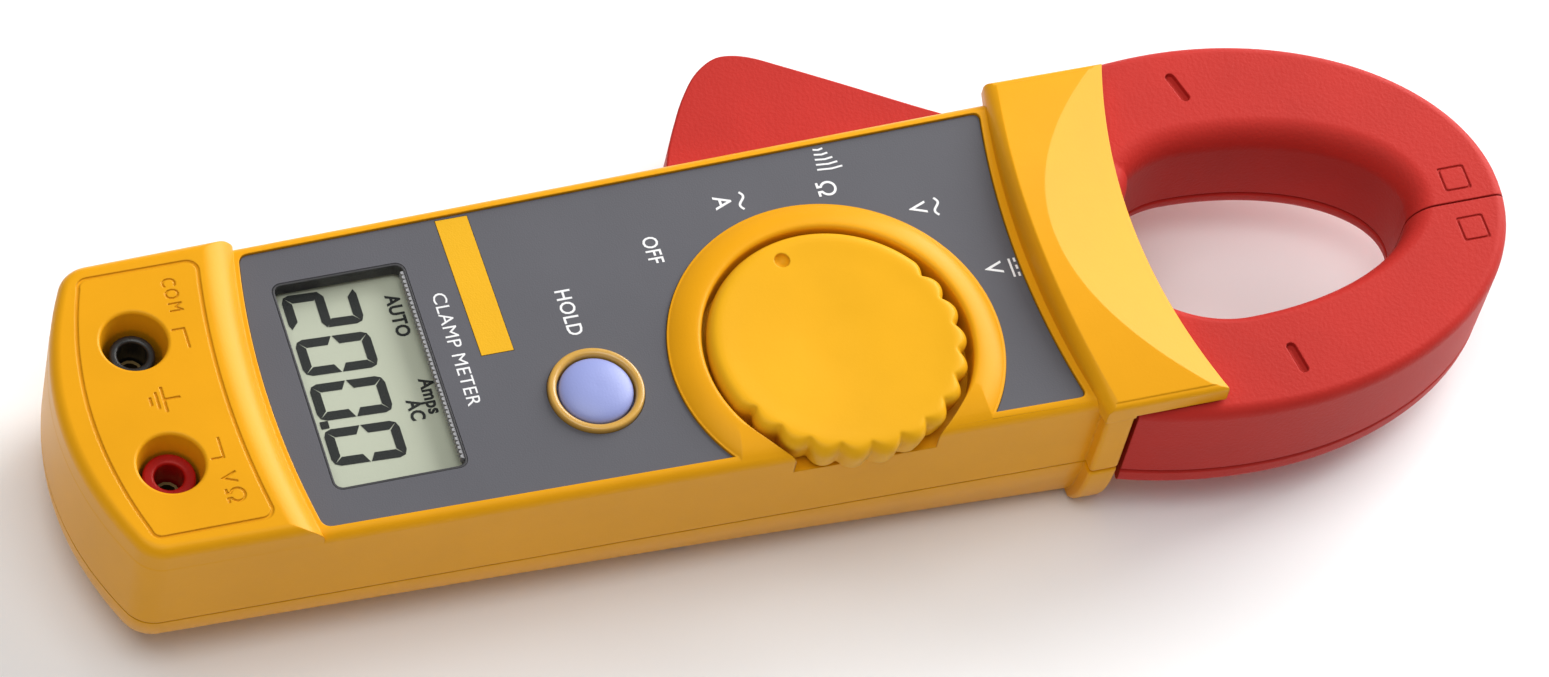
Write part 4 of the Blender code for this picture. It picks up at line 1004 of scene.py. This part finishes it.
def engraved_marks():
    """Cutters for the plain socket marks: COM, V, ohm, the earth sign and the bracket ends."""
    span = (SOCKET_TOP_Z - ENGRAVING, SOCKET_TOP_Z + 1.0)
    com = (("C", -19.6), ("O", -17.75), ("M", -15.5))
    marks = [letters("com_mark", letter, (x, -61.8), SMALL, *span, 0.78, 0.0) for letter, x in com]
    marks.append(letters("volt_mark", "V", (13.3, -61.9), 2.4, *span, 0.95, 0.0))
    marks.append(ribbon("ohm_mark", omega((17.2, -61.7), 2.5), STROKE, *span))
    marks.append(ribbon("earth_stem", [(0.0, -64.0), (0.0, -66.3)], STROKE, *span))
    for number, half in enumerate((2.1, 1.4, 0.7)):
        y = -66.35 - 0.95 * number
        marks.append(ribbon("earth_bar", [(-half, y), (half, y)], STROKE, *span))
    for side in (-1, 1):
        bracket = [(side * 10.9, -62.4), (side * 10.9, -60.6), (side * 7.6, -60.6)]
        marks.append(ribbon("bracket", bracket, 0.3, *span))
    return marks


def printed(items, look, slot):
    for item in items:
        piece(item, "root", look, slot)


def face_legends(look):
    low, high = INK_Z
    items = [
        letters("word_hold", "HOLD", (-8.3, -6.1), WORD, low, high, 0.86),
        letters("word_off", "OFF", (-14.4, 8.9), WORD, low, high, 0.8),
        letters("letter_amp", "A", (-19.0, 21.2), SIGN, low, high),
        ribbon("sign_amp_ac", wave((-17.6, 25.3)), 0.36, low, high),
        ribbon("sign_ohm", omega((-17.1, 37.0), 2.6), 0.38, low, high),
        letters("letter_volt_ac", "V", (-12.1, 49.2), SIGN, low, high),
        ribbon("sign_volt_ac", wave((-10.8, 53.3)), 0.36, low, high),
        letters("letter_volt_dc", "V", (0.2, 57.0), SIGN, low, high),
        ribbon("sign_volt_dc", [(0.1, 60.9), (3.3, 60.9)], STROKE, low, high),
    ]
    for number in range(3):
        x = 0.1 + 1.25 * number
        items.append(ribbon(f"sign_volt_dash_{number}", [(x, 61.7), (x + 0.7, 61.7)], STROKE, low, high))
    for number in range(5):
        x = -23.9 + 0.88 * number
        rise = 1.6 + 0.5 * number
        sound = [(x - 0.12, 38.3 - 0.1 * number), (x + 0.06, 38.3 + rise * 0.5), (x - 0.12, 38.2 + rise)]
        items.append(ribbon(f"sign_sound_{number}", sound, 0.3, low, high))
    items.append(letters("word_type", "CLAMP METER", (-11.4, -23.6), SMALL, low, high, 1.0, 0.0))
    printed(items, look, "badge_yellow")


def digit_bars(wide, tall, thick, corner):
    """The outlines of a digit's seven bars, with mitred ends."""
    half = tall / 2.0
    notch = thick / 2.0
    top = [(corner, tall), (wide - corner, tall), (wide - 0.3 * corner, tall - 0.3 * corner)]
    top += [(wide - thick, tall - thick), (thick, tall - thick), (0.3 * corner, tall - 0.3 * corner)]
    side = [(wide - 0.3 * corner, tall - 0.3 * corner), (wide, tall - corner), (wide, half)]
    side += [(wide - thick, half + notch), (wide - thick, tall - thick)]
    nib = thick * 0.6
    middle = [(0.0, half), (nib, half + notch), (wide - nib, half + notch)]
    middle += [(wide, half), (wide - nib, half - notch), (nib, half - notch)]
    other = [(wide - x, y) for x, y in side]
    bottom, low_side, low_other = [[(x, tall - y) for x, y in bar] for bar in (top, side, other)]
    return {"a": top, "b": side, "c": low_side, "d": bottom, "e": low_other, "f": other, "g": middle}


def display_digits(look):
    """The reading, 200.0, as separate bars, with its small words."""
    shapes = digit_bars(*DIGIT_SIZE, DIGIT_STROKE, DIGIT_CORNER)
    x0, y0 = DIGIT_START
    low = LCD_TOP_Z + 0.03
    high = low + 0.04
    items = []
    for place, lit in enumerate(("abged", "abcdef", "abcdef", "abcdef")):
        left = x0 + DIGIT_PITCH * place
        for bar in lit:
            outline = shapes[bar]
            mid = [sum(values) / len(outline) for values in zip(*outline)]
            shape = []
            for x, y in outline:
                x += DIGIT_GAP * (1 if x < mid[0] else -1)
                y += DIGIT_GAP * (1 if y < mid[1] else -1)
                shape.append((left + x + DIGIT_SLANT * y, y0 + y))
            items.append(prism(f"digit_{place}_{bar}", shape, low, high))
    # The point stands before the last digit
    dot = moved(rounded_box((0.62, 0.62), 0.15, 3), left - 0.68, y0 + 0.65)
    items.append(prism("digit_point", dot, low, high))
    for name, text, place in (
        ("word_auto", "AUTO", (-14.2, -29.4)),
        ("word_amps", "Amps", (0.4, -28.5)),
        ("word_ac", "AC", (3.5, -31.2)),
    ):
        items.append(letters(name, text, place, SMALL, low, high, 0.85, 0.09))
    printed(items, look, "lcd_glass")


# ---------- materials ----------


def blank(name):
    """A new look, with its nodes and its shader."""
    look = bpy.data.materials.new(name)
    look.use_nodes = True
    nodes = look.node_tree.nodes
    return look, nodes, nodes["Principled BSDF"]


def fill(node, **values):
    """Sets a node's inputs. An underscore stands for a space in an input's name."""
    for name, value in values.items():
        node.inputs[name.replace("_", " ")].default_value = value
    return node


def wire(source, output, target, entry):
    source.id_data.links.new(source.outputs[output], target.inputs[entry])


def two_tone(source, shader, dark, light, span=(0.0, 1.0)):
    """Drives the base colour between two tones over a span of the source."""
    ramp = shader.id_data.nodes.new("ShaderNodeValToRGB")
    for element, position, tone in zip(ramp.color_ramp.elements, span, (dark, light)):
        element.position = position
        element.color = (*tone, 1.0)
    wire(source, "Fac", ramp, "Fac")
    wire(ramp, "Color", shader, "Base Color")


def uneven_polish(source, shader, low, high):
    """Drives the roughness between two values."""
    polish = fill(shader.id_data.nodes.new("ShaderNodeMapRange"), To_Min=low, To_Max=high)
    wire(source, "Fac", polish, "Value")
    wire(polish, "Result", shader, "Roughness")


def moulded(
    name, colour, roughness, grain=2600.0, depth=0.05, mottle=0.05, edge=0.3, coat=0.0, gloss=0.5, tint=WHITE
):
    """Plastic or rubber: fine moulded grain, slow colour mottling, uneven polish and softened edges."""
    look, nodes, shader = blank(name)
    place = nodes.new("ShaderNodeTexCoord")
    slow = fill(nodes.new("ShaderNodeTexNoise"), Scale=55.0, Detail=5.0)
    wire(place, "Object", slow, "Vector")
    dark = [value * (1.0 - mottle) for value in colour]
    light = [min(1.0, value * (1.0 + mottle)) for value in colour]
    two_tone(slow, shader, dark, light, (0.3, 0.75))
    fine = fill(nodes.new("ShaderNodeTexNoise"), Scale=grain, Detail=3.0)
    wire(place, "Object", fine, "Vector")
    uneven_polish(slow, shader, roughness - 0.03, roughness + 0.05)
    round_edge = fill(nodes.new("ShaderNodeBevel"), Radius=edge * MM)
    round_edge.samples = 6
    bump = fill(nodes.new("ShaderNodeBump"), Strength=0.6, Distance=depth * MM)
    wire(fine, "Fac", bump, "Height")
    wire(round_edge, "Normal", bump, "Normal")
    wire(bump, "Normal", shader, "Normal")
    fill(shader, Coat_Weight=coat, Coat_Roughness=0.25)
    fill(shader, Specular_IOR_Level=gloss, Specular_Tint=(*tint, 1.0))
    return look


def metal(name, colour, roughness, bands=0.0):
    """Metal with drawn lines, or with regular bands for windings or laminations."""
    look, nodes, shader = blank(name)
    fill(shader, Metallic=1.0)
    place = nodes.new("ShaderNodeTexCoord")
    spread = fill(nodes.new("ShaderNodeMapping"), Scale=(1.0, 1.0, 1.0 if bands else 40.0))
    wire(place, "Object", spread, "Vector")
    if bands:
        lines = fill(nodes.new("ShaderNodeTexWave"), Scale=bands, Distortion=0.4)
        lines.bands_direction = "Z"
    else:
        lines = fill(nodes.new("ShaderNodeTexNoise"), Scale=900.0, Detail=4.0)
    wire(spread, "Vector", lines, "Vector")
    two_tone(lines, shader, [value * 0.75 for value in colour], colour)
    uneven_polish(lines, shader, roughness, roughness + 0.15)
    bump = fill(nodes.new("ShaderNodeBump"), Strength=0.4, Distance=0.03 * MM)
    wire(lines, "Fac", bump, "Height")
    wire(bump, "Normal", shader, "Normal")
    return look


def circuit_board(name):
    """Green resist with a grid of copper traces that shows as a lighter pattern."""
    look = moulded(name, (0.015, 0.13, 0.05), 0.35, coat=0.4)
    nodes = look.node_tree.nodes
    traces = fill(
        nodes.new("ShaderNodeTexBrick"),
        Scale=240.0,
        Color1=(0.012, 0.11, 0.045, 1.0),
        Color2=(0.02, 0.15, 0.06, 1.0),
        Mortar=(0.05, 0.24, 0.1, 1.0),
        Mortar_Size=0.03,
    )
    wire(nodes["Texture Coordinate"], "Object", traces, "Vector")
    wire(traces, "Color", nodes["Principled BSDF"], "Base Color")
    return look


def clear_window(name):
    """A thin clear pane: mostly see-through, with a soft reflection."""
    look, nodes, shader = blank(name)
    noise = fill(nodes.new("ShaderNodeTexNoise"), Scale=120.0)
    uneven_polish(noise, shader, 0.08, 0.16)
    fill(shader, Base_Color=(0.92, 0.95, 0.92, 1.0), Specular_IOR_Level=0.3, Alpha=0.012)
    return look


def make_looks():
    """Every slot's look, in linear colours."""
    gold = {"gloss": 0.3, "tint": GOLD_SHEEN}
    knob = (0.76, 0.375, 0.010)
    red = (0.46, 0.027, 0.021)
    return {
        "case_yellow": moulded("case_plastic", (0.76, 0.335, 0.006), 0.33, depth=0.02, **gold),
        "knob_yellow": moulded("knob_plastic", knob, 0.36, depth=0.02, gloss=0.2, tint=GOLD_SHEEN),
        "panel_grey": moulded("panel_film", (0.098, 0.097, 0.110), 0.6, 4000.0, 0.04, edge=0.1, gloss=0.25),
        "badge_yellow": moulded("badge_film", (0.76, 0.40, 0.012), 0.45, 4000.0, edge=0.05, **gold),
        "jaw_red": moulded("jaw_plastic", red, 0.5, 1900.0, 0.10, 0.08, gloss=0.2, tint=RED_SHEEN),
        "button_lavender": moulded("button_rubber", (0.27, 0.31, 0.62), 0.42, depth=0.03),
        "ring_gold": moulded("ring_plastic", (0.60, 0.33, 0.05), 0.3, coat=0.5),
        "socket_black": moulded("socket_black_plastic", (0.012, 0.012, 0.012), 0.35),
        "socket_red": moulded("socket_red_plastic", (0.30, 0.005, 0.004), 0.35, tint=RED_SHEEN),
        # The brass colour is painted darker than brass: painted shade for the contacts deep in the socket bores.
        "contact_brass": metal("shade_darkened_contact_metal", (0.22, 0.15, 0.06), 0.45),
        "spring_steel": metal("steel_wire", (0.56, 0.56, 0.58), 0.28),
        "core_iron": metal("core_laminations", (0.36, 0.36, 0.38), 0.4, bands=900.0),
        "coil_copper": metal("coil_winding", (0.72, 0.30, 0.11), 0.35, bands=700.0),
        "lcd_glass": moulded("display_glass", (0.45, 0.48, 0.365), 0.5, depth=0.01, mottle=0.03, edge=0.05),
        "clear_window": clear_window("display_window"),
        "inner_plastic": moulded("inner_moulding", (0.028, 0.027, 0.03), 0.55),
        "strip_rubber": moulded("contact_rubber", (0.28, 0.12, 0.09), 0.7),
        "board_green": circuit_board("board_resist"),
        "cell_sleeve": moulded("cell_wrap", (0.03, 0.035, 0.06), 0.3, coat=0.5),
    }


def dress_frame(looks):
    """Gives every carried-over CAD node its slot's material."""
    slots = {row["node"]: row["material_slot"] for row in frame["record"]["subparts"]}
    for name, node in frame["nodes"].items():
        node.data.materials.clear()
        node.data.materials.append(looks[slots[name]])


# ---------- stage ----------


def camera():
    """The photo's viewpoint, as the camera's place and its three axes, solved from the grey face."""
    data = bpy.data.cameras.new("camera")
    data.sensor_width = 36.0
    data.lens = 163.8
    made = placed("camera", data)
    right = Vector((0.29565, 0.94369, 0.14844))
    up = Vector((-0.8257, 0.1743, 0.5365))
    back = Vector((0.48042, -0.28118, 0.83074))
    turn = Matrix((right, up, back)).transposed().to_4x4()
    made.matrix_world = Matrix.Translation((0.49275, -0.26185, 0.86991)) @ turn
    bpy.context.scene.camera = made


def area_light(name, place, size, power):
    """A rectangular light that faces the meter. Its place and size are in metres."""
    data = bpy.data.lights.new(name, "AREA")
    data.shape = "RECTANGLE"
    data.size, data.size_y = size
    data.energy = power
    made = placed(name, data)
    made.location = place
    made.rotation_euler = (Vector(LIGHT_AIM) - Vector(place)).to_track_quat("-Z", "Y").to_euler()


def stage():
    reach = 4000.0
    floor = box("floor", (-reach, -reach, -20.0), (reach, reach, -0.05))
    paper = {"gloss": 0.2, "grain": 300.0, "depth": 0.02, "mottle": 0.005, "edge": 0.0}
    floor.data.materials.append(moulded("floor_paper", (0.93, 0.93, 0.93), 0.8, **paper))
    world = bpy.data.worlds.new("studio")
    world.use_nodes = True
    fill(world.node_tree.nodes["Background"], Color=(*WHITE, 1.0), Strength=0.27)
    bpy.context.scene.world = world
    area_light("key", (-0.5, 0.84, 0.5), (0.8, 0.9), 17.0)
    area_light("top", (0.12, -0.2, 1.35), (1.0, 1.0), 10.0)
    bpy.context.scene.view_settings.view_transform = "Standard"


def main():
    looks = make_looks()
    camera()
    stage()
    dress_frame(looks)
    front_shell(looks["case_yellow"])
    back_shell(looks["case_yellow"])
    battery_door(looks["case_yellow"])
    face_panel(looks["panel_grey"])
    painted_shade_bezel(looks["inner_plastic"])
    # The comb's light grey, much lighter than the face, is a painted highlight standing in for the light caught by
    # its ribs.
    window_comb(moulded("painted_highlight_comb_film", (0.30, 0.30, 0.31), 0.5, edge=0.05))
    button_parts(looks["button_lavender"], looks["ring_gold"])
    dial_knob(looks["knob_yellow"])
    sockets(looks)
    moving_jaw(looks["jaw_red"])
    fixed_jaw(looks["jaw_red"])
    ink = {"mottle": 0.01, "edge": 0.0}
    face_legends(moulded("legend_ink", (0.8, 0.8, 0.8), 0.5, **ink))
    display_digits(moulded("digit_ink", (0.007, 0.009, 0.008), 0.6, gloss=0.1, **ink))


main()
